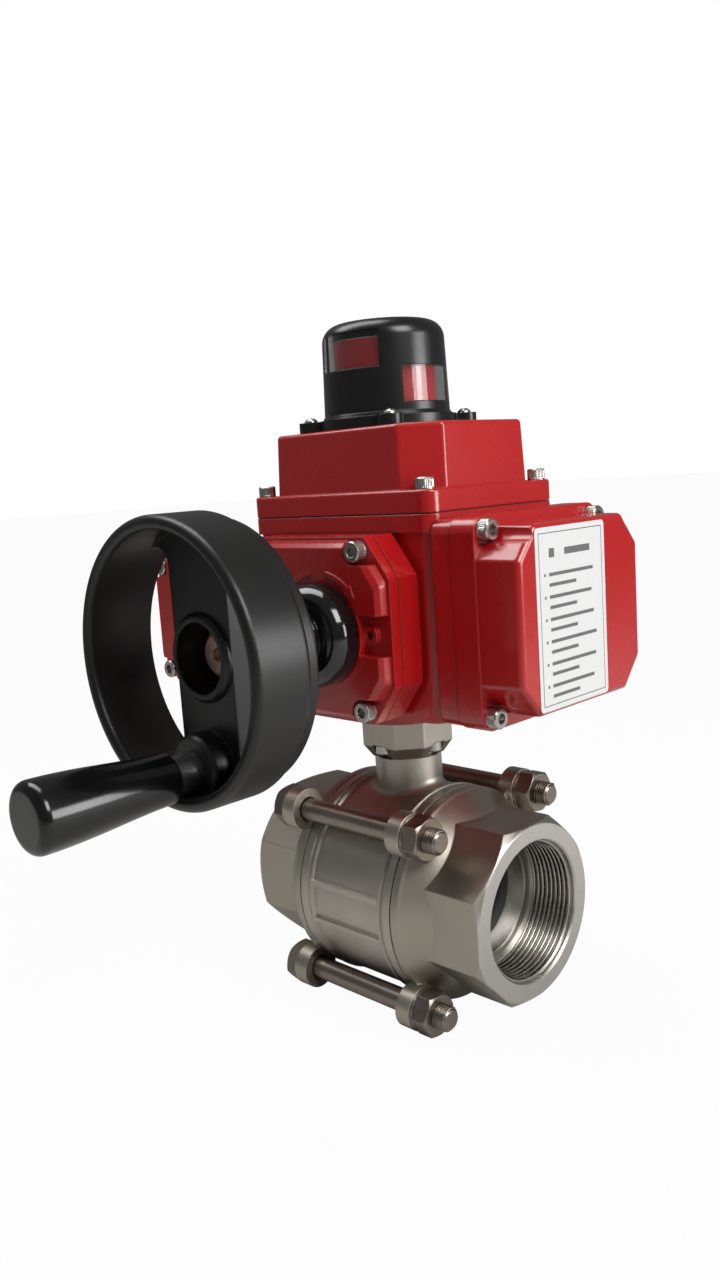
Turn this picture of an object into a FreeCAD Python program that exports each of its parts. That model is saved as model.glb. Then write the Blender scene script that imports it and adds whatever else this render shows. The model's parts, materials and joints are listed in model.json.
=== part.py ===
import FreeCAD, Part
import os
from math import acos, cos, pi, radians, sin, sqrt, tan

Vec = FreeCAD.Vector

# ---------------------------------------------------------------------------
# Motorized quarter-turn actuator on a three-piece threaded ball valve.
# Millimetres. Origin: where the stem axis (Z) crosses the pipe axis (X).
# The handwheel and the gear cover face -Y, the wiring cover faces +X.
# The ball is modelled closed: its bore lies across the pipe, along Y.
# ---------------------------------------------------------------------------

# valve, 2 inch pipe thread, full bore
valve_half = 67.5              # pipe axis centre to a thread mouth
bore_radius = 25.0             # through the ball and the end caps
thread_radius = 29.8           # wall at the thread's major diameter
thread_depth = 24.0
cap_flat = 37.5                # half the width across the octagon's flats
ball_radius = 38.5
cap_face = ball_radius - 10.5  # stem axis to the inner face of an end cap
octagon_start = cap_face + 13
body_radius = ball_radius + 7.5
seal_thickness = 0.8
ball_gap = 0.3                 # ball to seat and to body wall
seat_outer = ball_radius - 5.5
bolt_offset = body_radius - 8  # tie bolts stand at (+-, +-) about the pipe axis
bolt_radius = 4.9
bolt_hole = 5.4
ear_radius = 9.5
ear_end = cap_face + 7.5
washer_thickness = 1.2
nut_height = 8.0
bolt_tip = ear_end + 15.5
neck_radius = 15.1
neck_fillet = 4.0
stem_radius = 7.0
stem_foot = ball_radius - 2    # bottom of the stem's shoulder
stem_square = 11.0
packing_radius = 10.0
pad_bottom = 66.0
pad_top = 78.0
pad_half = 18.8
pad_corner = 19.9
pad_screw_circle = 15.6

# actuator case
case_mid_y = 5.0               # the case is set back a little from the stem
case_bottom = 86.0
rim_top = 169.0                # joint of the case and the top cover
rim_half_x = 53.0
rim_half_y = 41.5
axis_z = 124.0                 # every shaft of the gear train lies at this height
ring_mid_z = 126.5             # wiring end of the case
ring_half = 41.0
ring_corner = 7.0
ring_start = rim_half_x - 0.4
ring_end = ring_start + 8.9
boss_half_x = rim_half_x - 7   # gear box on the front of the case
boss_half_z = 37.0
boss_cut_x = 12.0
boss_cut_z = 16.0
boss_front = -48.5
box_mid_z = 125.0              # mid height of the gear box and of the motor housing
lobe_end_x = -105.0            # left end of the motor housing
lobe_half_z = 30.5
lobe_back = 41.0
wall = 4.0
gasket = 0.5

# covers
cover_front = -54.0            # gear cover flange
plateau_front = -58.5          # gear cover raised face
wiring_flange = ring_end + 12
wiring_end = wiring_flange + 19.5
wiring_half_y = 41.0
wiring_half_z = 36.4
lid_flange_top = 178.4
lid_top = 204.4
lid_half_x = rim_half_x - 4.8
lid_half_y = rim_half_y - 3.3
lid_cut = 13.0
draft = 0.9

# position indicator
dome_radius = 27.2
dome_top_radius = 26.0
dome_top = 248.6
dome_base_top = 210.5
window_split = 228.6
window_low = 214.0
window_high = 243.6
window_angle = 70.0
window_turn = 4.0
drum_radius = 21.0

# gear train
worm_offset = 30.0             # worm axis to output axis
worm_teeth = 40                # on the worm wheel, single-start worm
worm_pitch_radius = 8.0
spur_module = 1.5
spur_teeth = 28                # worm gear and handwheel gear
pinion_teeth = 14              # motor pinion
gear_back = -42.5
gear_front = -49.5

# handwheel
wheel_radius = 52.8
wheel_front = -136.0
wheel_back = -112.0
rim_wall = 5.2
web_front = -117.5
web_back = -107.5
web_half = 16.5
web_round = 7.0                # corners of the wheel's openings
hub_mouth = 13.0
hub_floor = -106.5             # bottom of the hub's recess
handle_drop = wheel_radius - 12.8    # handwheel axis to handle axis
grip_start = -136.4
grip_end = -192.5
seat_front = -126.5            # front of the handle's boss on the wheel
grip_big = 12.6
grip_small = 9.4
grip_round = 3.6

sleeve_radius = 21.0

# shafts of the gear train and their bushes
output_radius = 11.0
output_bush = 12.8
worm_journal = 5.0
hand_journal = 6.0
motor_journal = 4.0
bush_radius = 8.0

# fasteners
cover_head = 4.1               # M5 socket screws of the gear and wiring covers
cover_head_height = 5.0
cover_shank = 2.4
cover_tap = 2.45
cover_hole = 2.8
lid_head = 3.7                 # M4 socket screws of the lid
lid_head_height = 4.6
lid_shank = 1.9
lid_tap = 1.95
lid_hole = 2.3
nut_flat = 8.5                 # M10 nuts and bolt heads, half across flats
nut_corner = 9.9
dome_screw_reach = 23.5        # indicator screws stand at (+-, +-)

# wiring side
gland_z = 108.0
gland_radius = 10.0
tray_floor = -38.0             # wall between the gear box and the case
inner_front = -32.0
inner_back = 38.5
plate_low = 150.0              # bearing plate of the output shaft
plate_high = 155.0
board_face = rim_half_x + 0.6  # component side of the control board

module = 2 * (worm_offset - worm_pitch_radius) / worm_teeth
spur_radius = spur_module * spur_teeth / 2
pinion_radius = spur_module * pinion_teeth / 2
worm_x = -worm_offset
hand_x = worm_x + 2 * spur_radius
motor_x = worm_x - spur_radius - pinion_radius
running = 0.05                 # radial clearance of a running shaft
slack = 0.2                    # loose clearance between static pieces


# ------------------------------------------------------------------ helpers
def place(u, v, level, axis):
    """A point of a plane outline, at the given level along the axis."""
    if axis == "x":
        return Vec(level, u, v)
    if axis == "y":
        return Vec(u, level, v)
    return Vec(u, v, level)


def outline(points, axis, level, radius=0.0):
    """Closed wire through the points; each corner is rounded by the radius."""
    count = len(points)
    corners = [place(u, v, level, axis) for u, v in points]
    if radius <= 0:
        return Part.makePolygon(corners + corners[:1])
    edges = []
    ends = []
    for i in range(count):
        here = corners[i]
        back = (corners[i - 1] - here).normalize()
        ahead = (corners[(i + 1) % count] - here).normalize()
        half_angle = acos(max(-1.0, min(1.0, back.dot(ahead)))) / 2
        reach = radius / tan(half_angle)
        middle_way = (back + ahead).normalize()
        middle = here + middle_way * (radius / sin(half_angle) - radius)
        ends.append((here + back * reach, middle, here + ahead * reach))
    for i in range(count):
        start, middle, end = ends[i]
        edges.append(Part.Arc(start, middle, end).toShape())
        edges.append(Part.makeLine(end, ends[(i + 1) % count][0]))
    return Part.Wire(edges)


def prism(points, axis, low, high, radius=0.0):
    face = Part.Face(outline(points, axis, low, radius))
    return face.extrude(place(0, 0, high - low, axis))


def taper(points_low, points_high, axis, low, high, radius_low=0.0, radius_high=0.0):
    wires = [outline(points_low, axis, low, radius_low),
             outline(points_high, axis, high, radius_high)]
    return Part.makeLoft(wires, True, True)


def rectangle(half_u, half_v, mid_u=0.0, mid_v=0.0):
    return [(mid_u - half_u, mid_v - half_v), (mid_u + half_u, mid_v - half_v),
            (mid_u + half_u, mid_v + half_v), (mid_u - half_u, mid_v + half_v)]


def octagon(half_u, half_v, cut_u, cut_v, mid_u=0.0, mid_v=0.0):
    """Rectangle with its four corners cut off."""
    return [(mid_u - half_u + cut_u, mid_v - half_v), (mid_u + half_u - cut_u, mid_v - half_v),
            (mid_u + half_u, mid_v - half_v + cut_v), (mid_u + half_u, mid_v + half_v - cut_v),
            (mid_u + half_u - cut_u, mid_v + half_v), (mid_u - half_u + cut_u, mid_v + half_v),
            (mid_u - half_u, mid_v + half_v - cut_v), (mid_u - half_u, mid_v - half_v + cut_v)]


def rod(radius, start, end):
    """Cylinder from one point to another."""
    return Part.makeCylinder(radius, (end - start).Length, start, end - start)


def rod_x(radius, x0, x1, y=0.0, z=0.0):
    return rod(radius, Vec(x0, y, z), Vec(x1, y, z))


def rod_y(radius, y0, y1, x=0.0, z=0.0):
    return rod(radius, Vec(x, y0, z), Vec(x, y1, z))


def rod_z(radius, z0, z1, x=0.0, y=0.0):
    return rod(radius, Vec(x, y, z0), Vec(x, y, z1))


def cone_z(r0, r1, z0, z1):
    return Part.makeCone(r0, r1, z1 - z0, Vec(0, 0, z0), Vec(0, 0, 1))


def block(x0, x1, y0, y1, z0, z1):
    return Part.makeBox(x1 - x0, y1 - y0, z1 - z0, Vec(x0, y0, z0))


def turned(profile, base, axis):
    """Solid of revolution: profile points are (distance along the axis, radius)."""
    across = Vec(0, 0, 1) if abs(axis.z) < 0.5 else Vec(1, 0, 0)
    corners = [base + axis * along + across * radius for along, radius in profile]
    face = Part.Face(Part.makePolygon(corners + corners[:1]))
    return face.revolve(base, axis, 360)


def join(shapes):
    result = shapes[0]
    for shape in shapes[1:]:
        result = result.fuse(shape)
    return result.removeSplitter()


def cut(shape, tools):
    for tool in tools:
        shape = shape.cut(tool)
    return shape


def group(shapes):
    """Separate solids that share one node."""
    return Part.makeCompound(shapes)


def hexagon(flat, axis, low, high, u=0.0, v=0.0, turn=0.0):
    """Hexagonal prism, flat being half the width across flats."""
    reach = flat / cos(pi / 6)
    points = [(u + reach * cos(turn + i * pi / 3), v + reach * sin(turn + i * pi / 3)) for i in range(6)]
    return prism(points, axis, low, high)


def cap_screw(seat, outward, shank, head_radius=cover_head, head_height=cover_head_height,
              shank_radius=cover_shank, socket=2.0):
    """Socket head cap screw whose head rests at seat and points outward."""
    top = seat + outward * head_height
    bevel = 0.5
    profile = [(-shank, 0), (-shank, shank_radius - bevel),
               (bevel - shank, shank_radius), (0, shank_radius), (0, head_radius),
               (head_height - bevel, head_radius), (head_height, head_radius - bevel), (head_height, 0)]
    body = turned(profile, seat, outward)
    depth = 0.6 * head_height
    across = Vec(0, 0, 1) if abs(outward.z) < 0.5 else Vec(1, 0, 0)
    sideways = outward.cross(across)
    reach = socket / cos(pi / 6)
    corners = [top + across * (reach * cos(i * pi / 3)) + sideways * (reach * sin(i * pi / 3))
               for i in range(6)]
    hole = Part.Face(Part.makePolygon(corners + corners[:1])).extrude(outward * -depth)
    return body.cut(hole)


def sector(radius, inner, angle_mid, angle_width, z0, z1):
    """Part of a ring about the stem axis."""
    ring = rod_z(radius, z0, z1).cut(rod_z(inner, z0, z1))
    start = angle_mid - angle_width / 2
    wedge = Part.makeCylinder(radius * 2, z1 - z0, Vec(0, 0, z0), Vec(0, 0, 1), angle_width)
    wedge.rotate(Vec(0, 0, 0), Vec(0, 0, 1), start)
    return ring.common(wedge)


def spur_gear(teeth, gear_module, low, high, x, z, bore, phase):
    """Spur gear on a shaft along Y; phase turns a tooth centre from +X towards +Z."""
    pitch = gear_module * teeth / 2
    base = pitch * cos(radians(20))
    tip = pitch + gear_module
    root = pitch - 1.25 * gear_module
    half_pitch_angle = pi / (2 * teeth) - 0.05 * gear_module / pitch

    def flank(radius):
        """Half the angle that a tooth fills at this radius."""
        if radius <= base:
            return half_pitch_angle + involute(pitch)
        return half_pitch_angle + involute(pitch) - involute(radius)

    def involute(radius):
        pressure = acos(base / radius)
        return tan(pressure) - pressure

    heights = [root, max(base, root + 0.1), (base + pitch) / 2, pitch, (pitch + tip) / 2, tip]
    points = []
    for tooth in range(teeth):
        middle = phase + 2 * pi * tooth / teeth
        rise = [(radius, middle - flank(radius)) for radius in heights]
        fall = [(radius, middle + flank(radius)) for radius in reversed(heights)]
        points += [(x + r * cos(a), z + r * sin(a)) for r, a in rise + fall]
    return prism(points, "y", low, high).cut(rod_y(bore, low, high, x, z))


# -------------------------------------------------------------------- valve
def octagon_nut(flat, x0, x1):
    """The wrench octagon of an end cap, its mouth bevelled."""
    cut_size = flat * (1 - tan(pi / 8))
    shape = prism(octagon(flat, flat, cut_size, cut_size), "x", x0, x1)
    corner = flat / cos(pi / 8)
    length = x1 - x0
    bevel = turned([(0, 0), (0, corner + 3), (length - 3.2, corner + 0.4), (length, flat - 0.2), (length, 0)],
                   Vec(x0, 0, 0), Vec(1, 0, 0))
    return shape.common(bevel)


def tie_places():
    return [(y, z) for y in (-bolt_offset, bolt_offset) for z in (-bolt_offset, bolt_offset)]


def end_cap():
    """End cap on the +X side, with its threaded mouth outwards."""
    flange_profile = [(0, 0), (0, body_radius + 1), (3.5, body_radius + 1), (4.5, body_radius),
                      (octagon_start - cap_face + 6, cap_flat - 3), (octagon_start - cap_face + 6, 0)]
    shapes = [turned(flange_profile, Vec(cap_face, 0, 0), Vec(1, 0, 0)),
              octagon_nut(cap_flat, octagon_start - 3, valve_half)]
    for y, z in tie_places():
        shapes.append(rod_x(ear_radius, cap_face, ear_end, y, z))
        inner = Vec(cap_face, y * 0.72, z * 0.72)
        shapes.append(rod(ear_radius - 1.5, inner, inner + Vec(ear_end - cap_face - 1, 0, 0)))
    shape = join(shapes)
    seat_depth = 6.0
    holes = [rod_x(bore_radius, cap_face - 1, valve_half, 0, 0),
             rod_x(thread_radius, valve_half - thread_depth, valve_half + 1),
             rod_x(seat_outer + 0.1, cap_face - 1, cap_face + seat_depth)]
    holes += [rod_x(bolt_hole, cap_face - 1, ear_end + 1, y, z) for y, z in tie_places()]
    lead = 0.8
    mouth = turned([(0, 0), (0, thread_radius), (lead, thread_radius + lead),
                    (2, thread_radius + lead), (2, 0)], Vec(valve_half - lead, 0, 0), Vec(1, 0, 0))
    return cut(shape, holes + [mouth])


def turned_about_stem(shape, angle):
    copy = shape.copy()
    copy.rotate(Vec(0, 0, 0), Vec(0, 0, 1), angle)
    return copy


def pad_outline():
    corner_cut = 2 * pad_half - pad_corner * sqrt(2)
    return octagon(pad_half, pad_half, corner_cut, corner_cut)


def stem_top_hole():
    """Stem bore, the pocket of the thrust washer and the packing chamber."""
    return [rod_z(stem_radius + running, 30, pad_top),
            rod_z(packing_radius + 1, stem_foot - 0.5, stem_foot + 5.5),
            rod_z(packing_radius, 52, pad_top + 1)]


def pad_screw_places():
    return [Vec(pad_screw_circle * cos(a), pad_screw_circle * sin(a), 0) for a in
            (radians(90 * i) for i in range(4))]


def valve_body():
    half = cap_face - seal_thickness
    rim = 4.0
    bead = 1.2
    edge_ring = [(-half, 0), (-half, body_radius + 1), (-half + rim, body_radius + 1),
                 (-half + rim + 0.7, body_radius), (-half + rim + 1.5, body_radius),
                 (-half + rim + 2.1, body_radius + bead), (-half + rim + 3.0, body_radius + bead),
                 (-half + rim + 3.6, body_radius)]
    profile = edge_ring + [(-along, radius) for along, radius in reversed(edge_ring)]
    barrel = turned(profile, Vec(0, 0, 0), Vec(1, 0, 0))
    neck = rod_z(neck_radius, 30, pad_top)
    barrel = barrel.fuse(neck)
    root = [edge for edge in barrel.Edges
            if edge.BoundBox.XLength > 1.9 * neck_radius and edge.BoundBox.XLength < 2.1 * neck_radius
            and edge.BoundBox.ZMax < body_radius + 3 and edge.BoundBox.ZMin > body_radius - 6]
    barrel = barrel.makeFillet(neck_fillet, root)
    flare_low = [(u * 0.80, v * 0.80) for u, v in pad_outline()]
    flare = taper(flare_low, pad_outline(), "z", pad_bottom - 5.5, pad_bottom, 2, 1.5)
    pad = prism(pad_outline(), "z", pad_bottom, pad_top, 1.5)
    rib_length = half - 7
    ribs = [block(-rib_length, rib_length, -body_radius - 0.8, -body_radius + 3, z, z + 2.2)
            for z in (6.8, -10.5)]
    shape = join([barrel, flare, pad] + ribs)
    shape = shape.cut(rod_x(ball_radius + ball_gap + 0.6, -half, half))
    shape = cut(shape, stem_top_hole())
    for i in range(4):
        pocket = block(pad_screw_circle - 3.8, pad_corner + 2, -4.2, 4.2, pad_bottom - 6, pad_bottom + 0.5)
        shape = shape.cut(turned_about_stem(pocket, 90 * i))
    return cut(shape, [rod_z(2.2, pad_bottom - 1, pad_top + 1, p.x, p.y) for p in pad_screw_places()])


def body_seals():
    rings = []
    for side in (-1, 1):
        x0 = side * (cap_face - seal_thickness / 2) - seal_thickness / 2
        ring = rod_x(body_radius - 0.5, x0, x0 + seal_thickness)
        rings.append(ring.cut(rod_x(ball_radius + ball_gap + 0.6, x0, x0 + seal_thickness)))
    return group(rings)


def ball():
    shape = Part.makeSphere(ball_radius, Vec(0, 0, 0), Vec(0, 0, 1), -90, 90, 360)
    flat = stem_foot - 0.3
    slot_half = stem_radius / 2 + slack
    return cut(shape, [rod_y(bore_radius, -ball_radius, ball_radius),
                       block(-ball_radius, ball_radius, -ball_radius, ball_radius, flat, ball_radius + 1),
                       block(-ball_radius, ball_radius, -slot_half, slot_half, flat - 6.5, flat + 1)])


def ball_seats():
    seats = []
    for side in (-1, 1):
        start = side * (cap_face - 4.5)
        end = side * (cap_face + 5.9)
        low, high = min(start, end), max(start, end)
        ring = rod_x(seat_outer, low, high).cut(rod_x(bore_radius + 0.2, low, high))
        seats.append(ring.cut(Part.makeSphere(ball_radius + ball_gap)))
    return group(seats)


def valve_stem():
    tang = block(-10.5, 10.5, -stem_radius / 2, stem_radius / 2, stem_foot - 6, stem_foot + 1)
    tang = tang.common(rod_z(packing_radius, stem_foot - 7, stem_foot + 3))
    shoulder = rod_z(packing_radius, stem_foot, stem_foot + 4.1)
    shaft = rod_z(stem_radius, stem_foot + 3, 77)
    square = prism(rectangle(stem_square / 2, stem_square / 2), "z", 77, 99, 0.8)
    return join([tang, shoulder, shaft, square])


def ring_z(outer, inner, z0, z1, x=0.0, y=0.0):
    return rod_z(outer, z0, z1, x, y).cut(rod_z(inner, z0, z1, x, y))


def ring_y(outer, inner, y0, y1, x, z):
    return rod_y(outer, y0, y1, x, z).cut(rod_y(inner, y0, y1, x, z))


def thrust_washer():
    return ring_z(packing_radius + 0.9, stem_radius + running, stem_foot + 4.2, stem_foot + 5.5)


def stem_packing():
    heights = [52 + 4 * i for i in range(4)]
    return group([ring_z(packing_radius, stem_radius + running, z, z + 3.9) for z in heights])


def gland_nut():
    shape = ring_z(packing_radius, stem_radius + running, 68, 76)
    slots = block(-packing_radius, packing_radius, -1.5, 1.5, 73.5, 77)
    return shape.cut(slots)


def tie_bolts():
    bolts = []
    head = 6.4
    for y, z in tie_places():
        shank = turned([(-ear_end, 0), (-ear_end, bolt_radius), (bolt_tip - 1, bolt_radius),
                        (bolt_tip, bolt_radius - 1), (bolt_tip, 0)], Vec(0, y, z), Vec(1, 0, 0))
        bolt_head = hexagon(nut_flat, "x", -ear_end - head, -ear_end, y, z, 0.2)
        crown = turned([(0, 0), (0, nut_flat), (1.2, nut_corner), (head, nut_corner), (head, 0)],
                       Vec(-ear_end - head, y, z), Vec(1, 0, 0))
        bolts.append(join([shank, bolt_head.common(crown)]))
    return group(bolts)


def tie_washers():
    x0 = ear_end
    x1 = x0 + washer_thickness
    return group([rod_x(9.0, x0, x1, y, z).cut(rod_x(bolt_hole, x0, x1, y, z)) for y, z in tie_places()])


def tie_nuts():
    nuts = []
    x0 = ear_end + washer_thickness
    x1 = x0 + nut_height
    for index, (y, z) in enumerate(tie_places()):
        body = hexagon(nut_flat, "x", x0, x1, y, z, 0.3 * index)
        crown = turned([(x0, 0), (x0, nut_corner), (x1 - 1.2, nut_corner), (x1, nut_flat), (x1, 0)],
                       Vec(0, y, z), Vec(1, 0, 0))
        nuts.append(body.common(crown).cut(rod_x(bolt_radius + 0.02, x0, x1, y, z)))
    return group(nuts)


# --------------------------------------------------------------------- case
def boss_points(inset=0.0):
    return octagon(boss_half_x - inset, boss_half_z - inset, boss_cut_x, boss_cut_z, 0, box_mid_z)


def lobe_points(inset=0.0):
    half = -lobe_end_x / 2
    return octagon(half - inset, lobe_half_z - inset, 8, 8, lobe_end_x / 2, box_mid_z)


def gear_box(inset, low, high, radius=1.5):
    """Plate or hollow with the outline of the gear box and the motor lobe."""
    return join([prism(boss_points(inset), "y", low, high, radius),
                 prism(lobe_points(inset), "y", low, high, radius)])


def gear_screw_places():
    right = [(31.5, box_mid_z + side * 31.5) for side in (-1, 1)]
    left = [(lobe_end_x + 8, box_mid_z + side * 24.5) for side in (-1, 1)]
    return right + left


def ring_points(inset=0.0):
    return rectangle(ring_half - inset, ring_half - inset, case_mid_y, ring_mid_z)


def ring_screw_places():
    reach = ring_half - 5.2
    return [(case_mid_y + a * reach, ring_mid_z + b * reach) for a in (-1, 1) for b in (-1, 1)]


def lid_screw_places():
    reach_x = rim_half_x - 6
    reach_y = rim_half_y - 5
    return [(a * reach_x, case_mid_y + b * reach_y) for a in (-1, 1) for b in (-1, 1)]


def gland_places():
    return [(x, 44.0) for x in (-6.0, 26.0)]


def plate_points(inset=0.0):
    """Outline of the well that holds the bearing plate."""
    return octagon(rim_half_x - 6 - inset, rim_half_y - 7.5 - inset, 14, 14, 0, case_mid_y)


def gear_case():
    back_y = case_mid_y + rim_half_y
    centre = prism(rectangle(rim_half_x - 1.2, rim_half_y - 1.2, 0, case_mid_y),
                   "z", case_bottom, rim_top - 7, 6)
    rim = prism(rectangle(rim_half_x, rim_half_y, 0, case_mid_y), "z", rim_top - 7, rim_top, 6)
    ring = prism(ring_points(), "x", ring_start, ring_end, ring_corner)
    waist = prism(ring_points(2.6), "x", 20, ring_start, ring_corner)
    boss = gear_box(0, boss_front, tray_floor)
    neck = gear_box(2.4, tray_floor, inner_front)
    shoulder = taper(octagon(boss_half_x - 6, 20, 6, 4, -4, 146.5), octagon(boss_half_x, 20, 6, 4, 0, 147.5),
                     "y", boss_front + 3, -rim_half_y + case_mid_y, 1, 1)
    lobe = prism(lobe_points(2.4), "y", inner_front, lobe_back, 3)
    foot = rod_z(24, pad_top, case_bottom + 1)
    glands = [rod_y(13, back_y - 5, back_y + 4, x, gland_z) for x, _ in gland_places()]
    shape = join([centre, rim, ring, waist, boss, neck, lobe, foot] + glands)
    hollow_half = rim_half_x - 9
    hollows = [block(-hollow_half, hollow_half, inner_front, inner_back, 92, plate_low),
               prism(plate_points(), "z", plate_low, rim_top + 1),
               prism(ring_points(5), "x", hollow_half - 4, ring_end + 1, 4),
               gear_box(wall, boss_front - 1, tray_floor),
               prism(lobe_points(6.4), "y", inner_front, inner_back - 1)]
    shape = cut(shape, hollows)
    rear_pillar = rod_y(12, 30, back_y - 2, worm_x, axis_z)
    shape = join([shape, rear_pillar])
    holes = [rod_z(output_bush, pad_top - 1, 93),
             rod_y(bush_radius, tray_floor - 1, inner_front + 1, worm_x, axis_z),
             rod_y(bush_radius, 29, 37, worm_x, axis_z),
             rod_y(bush_radius, tray_floor - 1, inner_front + 1, hand_x, axis_z),
             rod_y(11, tray_floor - 1, inner_front + 1, motor_x, axis_z)]
    holes += [rod_z(1.85, pad_top - 1, pad_top + 9, p.x, p.y) for p in pad_screw_places()]
    holes += [rod_z(lid_tap, rim_top - 12, rim_top + 1, x, y) for x, y in lid_screw_places()]
    holes += [rod_x(cover_tap, ring_end - 10, ring_end + 1, y, z) for y, z in ring_screw_places()]
    holes += [rod_y(cover_tap, boss_front - 1, boss_front + 9, x, z) for x, z in gear_screw_places()]
    holes += [rod_y(gland_radius, inner_back - 2, back_y + 5, x, gland_z) for x, _ in gland_places()]
    return cut(shape, holes)


def pad_screws():
    seat = pad_bottom + 0.5
    return group([cap_screw(Vec(p.x, p.y, seat), Vec(0, 0, -1), 19, 3.5, 4, 1.8, 1.6)
                  for p in pad_screw_places()])


def bearing_plate():
    shape = prism(plate_points(slack), "z", plate_low, plate_high)
    wire_slot = block(28, 38, -10, 20, plate_low, plate_high)
    return cut(shape, [rod_z(output_radius, plate_low, plate_high), wire_slot])


def lower_bush():
    return ring_z(output_bush, output_radius + running, pad_top + 0.5, 92)


def upper_bush():
    return ring_z(output_radius, 7 + running, plate_low, plate_high)


def output_shaft():
    shape = join([rod_z(output_radius, pad_top + 1, 110), rod_z(9, 110, 140),
                  rod_z(7, 140, 192), rod_z(5, 192, 216)])
    socket = prism(rectangle(stem_square / 2 + 0.02, stem_square / 2 + 0.02), "z", pad_top, 100)
    key = block(8.2, 10.4, -1.5, 1.5, 115, 133)
    return join([shape.cut(socket), key])


def worm_wheel():
    """Straight-toothed wheel; a gap faces the worm at rest."""
    pitch = worm_offset - worm_pitch_radius
    teeth = worm_teeth
    quarter = pi / teeth * 0.40
    points = []
    for tooth in range(teeth):
        middle = 2 * pi * (tooth + 0.5) / teeth
        for radius, angle in ((pitch - 1.35 * module, -1.45), (pitch + module, -0.62),
                              (pitch + module, 0.62), (pitch - 1.35 * module, 1.45)):
            points.append((radius * cos(middle + angle * quarter), radius * sin(middle + angle * quarter)))
    shape = prism(points, "z", axis_z - 7, axis_z + 7)
    hub = rod_z(14, axis_z - 10, axis_z + 10)
    keyway = block(8, 10.6, -1.6, 1.6, axis_z - 10, axis_z + 10)
    return cut(join([shape, hub]), [rod_z(9.02, axis_z - 10, axis_z + 10), keyway])


def worm_shaft():
    """Single-start worm with its thread and journals; a thread crest faces the wheel at rest."""
    pitch = pi * module
    turns = 8
    length = turns * pitch
    core = worm_pitch_radius - 1.35 * module
    crest = worm_pitch_radius + module
    foot_half = pitch * 0.30
    crest_half = pitch * 0.13
    helix = Part.makeLongHelix(pitch, length, core, 0, False)
    profile = Part.makePolygon([Vec(core - 0.4, 0, -foot_half), Vec(crest, 0, -crest_half),
                                Vec(crest, 0, crest_half), Vec(core - 0.4, 0, foot_half),
                                Vec(core - 0.4, 0, -foot_half)])
    thread = Part.Wire(helix.Edges).makePipeShell([profile], True, True)
    thread.translate(Vec(0, 0, -length / 2))
    thread.rotate(Vec(0, 0, 0), Vec(1, 0, 0), -90)
    thread.translate(Vec(worm_x, 0, axis_z))
    shaft = join([rod_y(core, -length / 2 - 2, length / 2 + 2, worm_x, axis_z),
                  rod_y(worm_journal, gear_front - 1, 36, worm_x, axis_z),
                  rod_y(worm_journal + 1.2, -31, 29, worm_x, axis_z)])
    return shaft.fuse(thread)


def worm_gear():
    return spur_gear(spur_teeth, spur_module, gear_front, gear_back, worm_x, axis_z, worm_journal + 0.02, 0)


def worm_bearings():
    return group([ring_y(bush_radius, worm_journal + running, y0, y0 + 6, worm_x, axis_z)
                  for y0 in (tray_floor, 31)])


def handwheel_shaft():
    shape = join([rod_y(hand_journal, hub_floor + 0.3, inner_front, hand_x, axis_z),
                  rod_y(hand_journal + 1.6, gear_back + 0.2, tray_floor - 0.3, hand_x, axis_z)])
    flat = block(hand_x - 8, hand_x + 8, hub_floor, hub_floor + 16, axis_z + 5, axis_z + 7)
    return cut(shape, [flat, rod_y(2.5, hub_floor - 1, hub_floor + 14, hand_x, axis_z)])


def handwheel_gear():
    return spur_gear(spur_teeth, spur_module, gear_front, gear_back, hand_x, axis_z,
                     hand_journal + 0.02, pi / spur_teeth)


def handwheel_bushes():
    return group([ring_y(bush_radius, hand_journal + running, tray_floor, inner_front, hand_x, axis_z),
                  ring_y(bush_radius + 0.5, hand_journal + running, -59, boss_front - 2, hand_x, axis_z)])


def motor_body():
    can_radius = 21
    can_length = 57
    can = turned([(0, 0), (0, can_radius - 2), (2, can_radius), (can_length - 3, can_radius),
                  (can_length, can_radius - 3), (can_length, 0)],
                 Vec(motor_x, inner_front, axis_z), Vec(0, 1, 0))
    nose = rod_y(11 - slack, tray_floor + 1, inner_front + 1, motor_x, axis_z)
    rings = [ring_y(can_radius + 0.7, can_radius - 0.5, y, y + 1.5, motor_x, axis_z) for y in (-20, -6, 8)]
    return join([can, nose] + rings).cut(rod_y(motor_journal + running, -60, -10, motor_x, axis_z))


def motor_shaft():
    return rod_y(motor_journal, gear_front - 1, -11, motor_x, axis_z)


def motor_pinion():
    return spur_gear(pinion_teeth, spur_module, gear_front, gear_back, motor_x, axis_z,
                     motor_journal + 0.02, pi / pinion_teeth)


def start_capacitor():
    x = motor_x - 28.5
    leads = [rod_y(2, 18, 22, x, axis_z + side * 2.4) for side in (-1, 1)]
    return join([rod_y(5.5, -20, 18, x, axis_z)] + leads)


# ------------------------------------------------------------------- covers
def notch(x, z, outward_x, outward_z):
    """Corner recess of the gear cover's raised face, round a screw head."""
    reach = 20
    radius = cover_head + 1.2
    pocket = rod_y(radius, plateau_front - 1, cover_front, x, z)
    x_far, x_near = x + outward_x * reach, x - outward_x * radius
    z_far, z_near = z + outward_z * reach, z - outward_z * radius
    side = block(min(x, x_far), max(x, x_far), plateau_front - 1, cover_front,
                 min(z_near, z_far), max(z_near, z_far))
    top = block(min(x_near, x_far), max(x_near, x_far), plateau_front - 1, cover_front,
                min(z, z_far), max(z, z_far))
    return [pocket, side, top]


def rounded_plate(points):
    """Raised face of the gear cover: steep below, then rounded off to the front."""
    turn = plateau_front + 1.5
    return join([taper(points(4.0), points(2.2), "y", plateau_front, turn, 4, 4),
                 taper(points(2.2), points(1.6), "y", turn, cover_front, 4, 4)])


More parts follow.
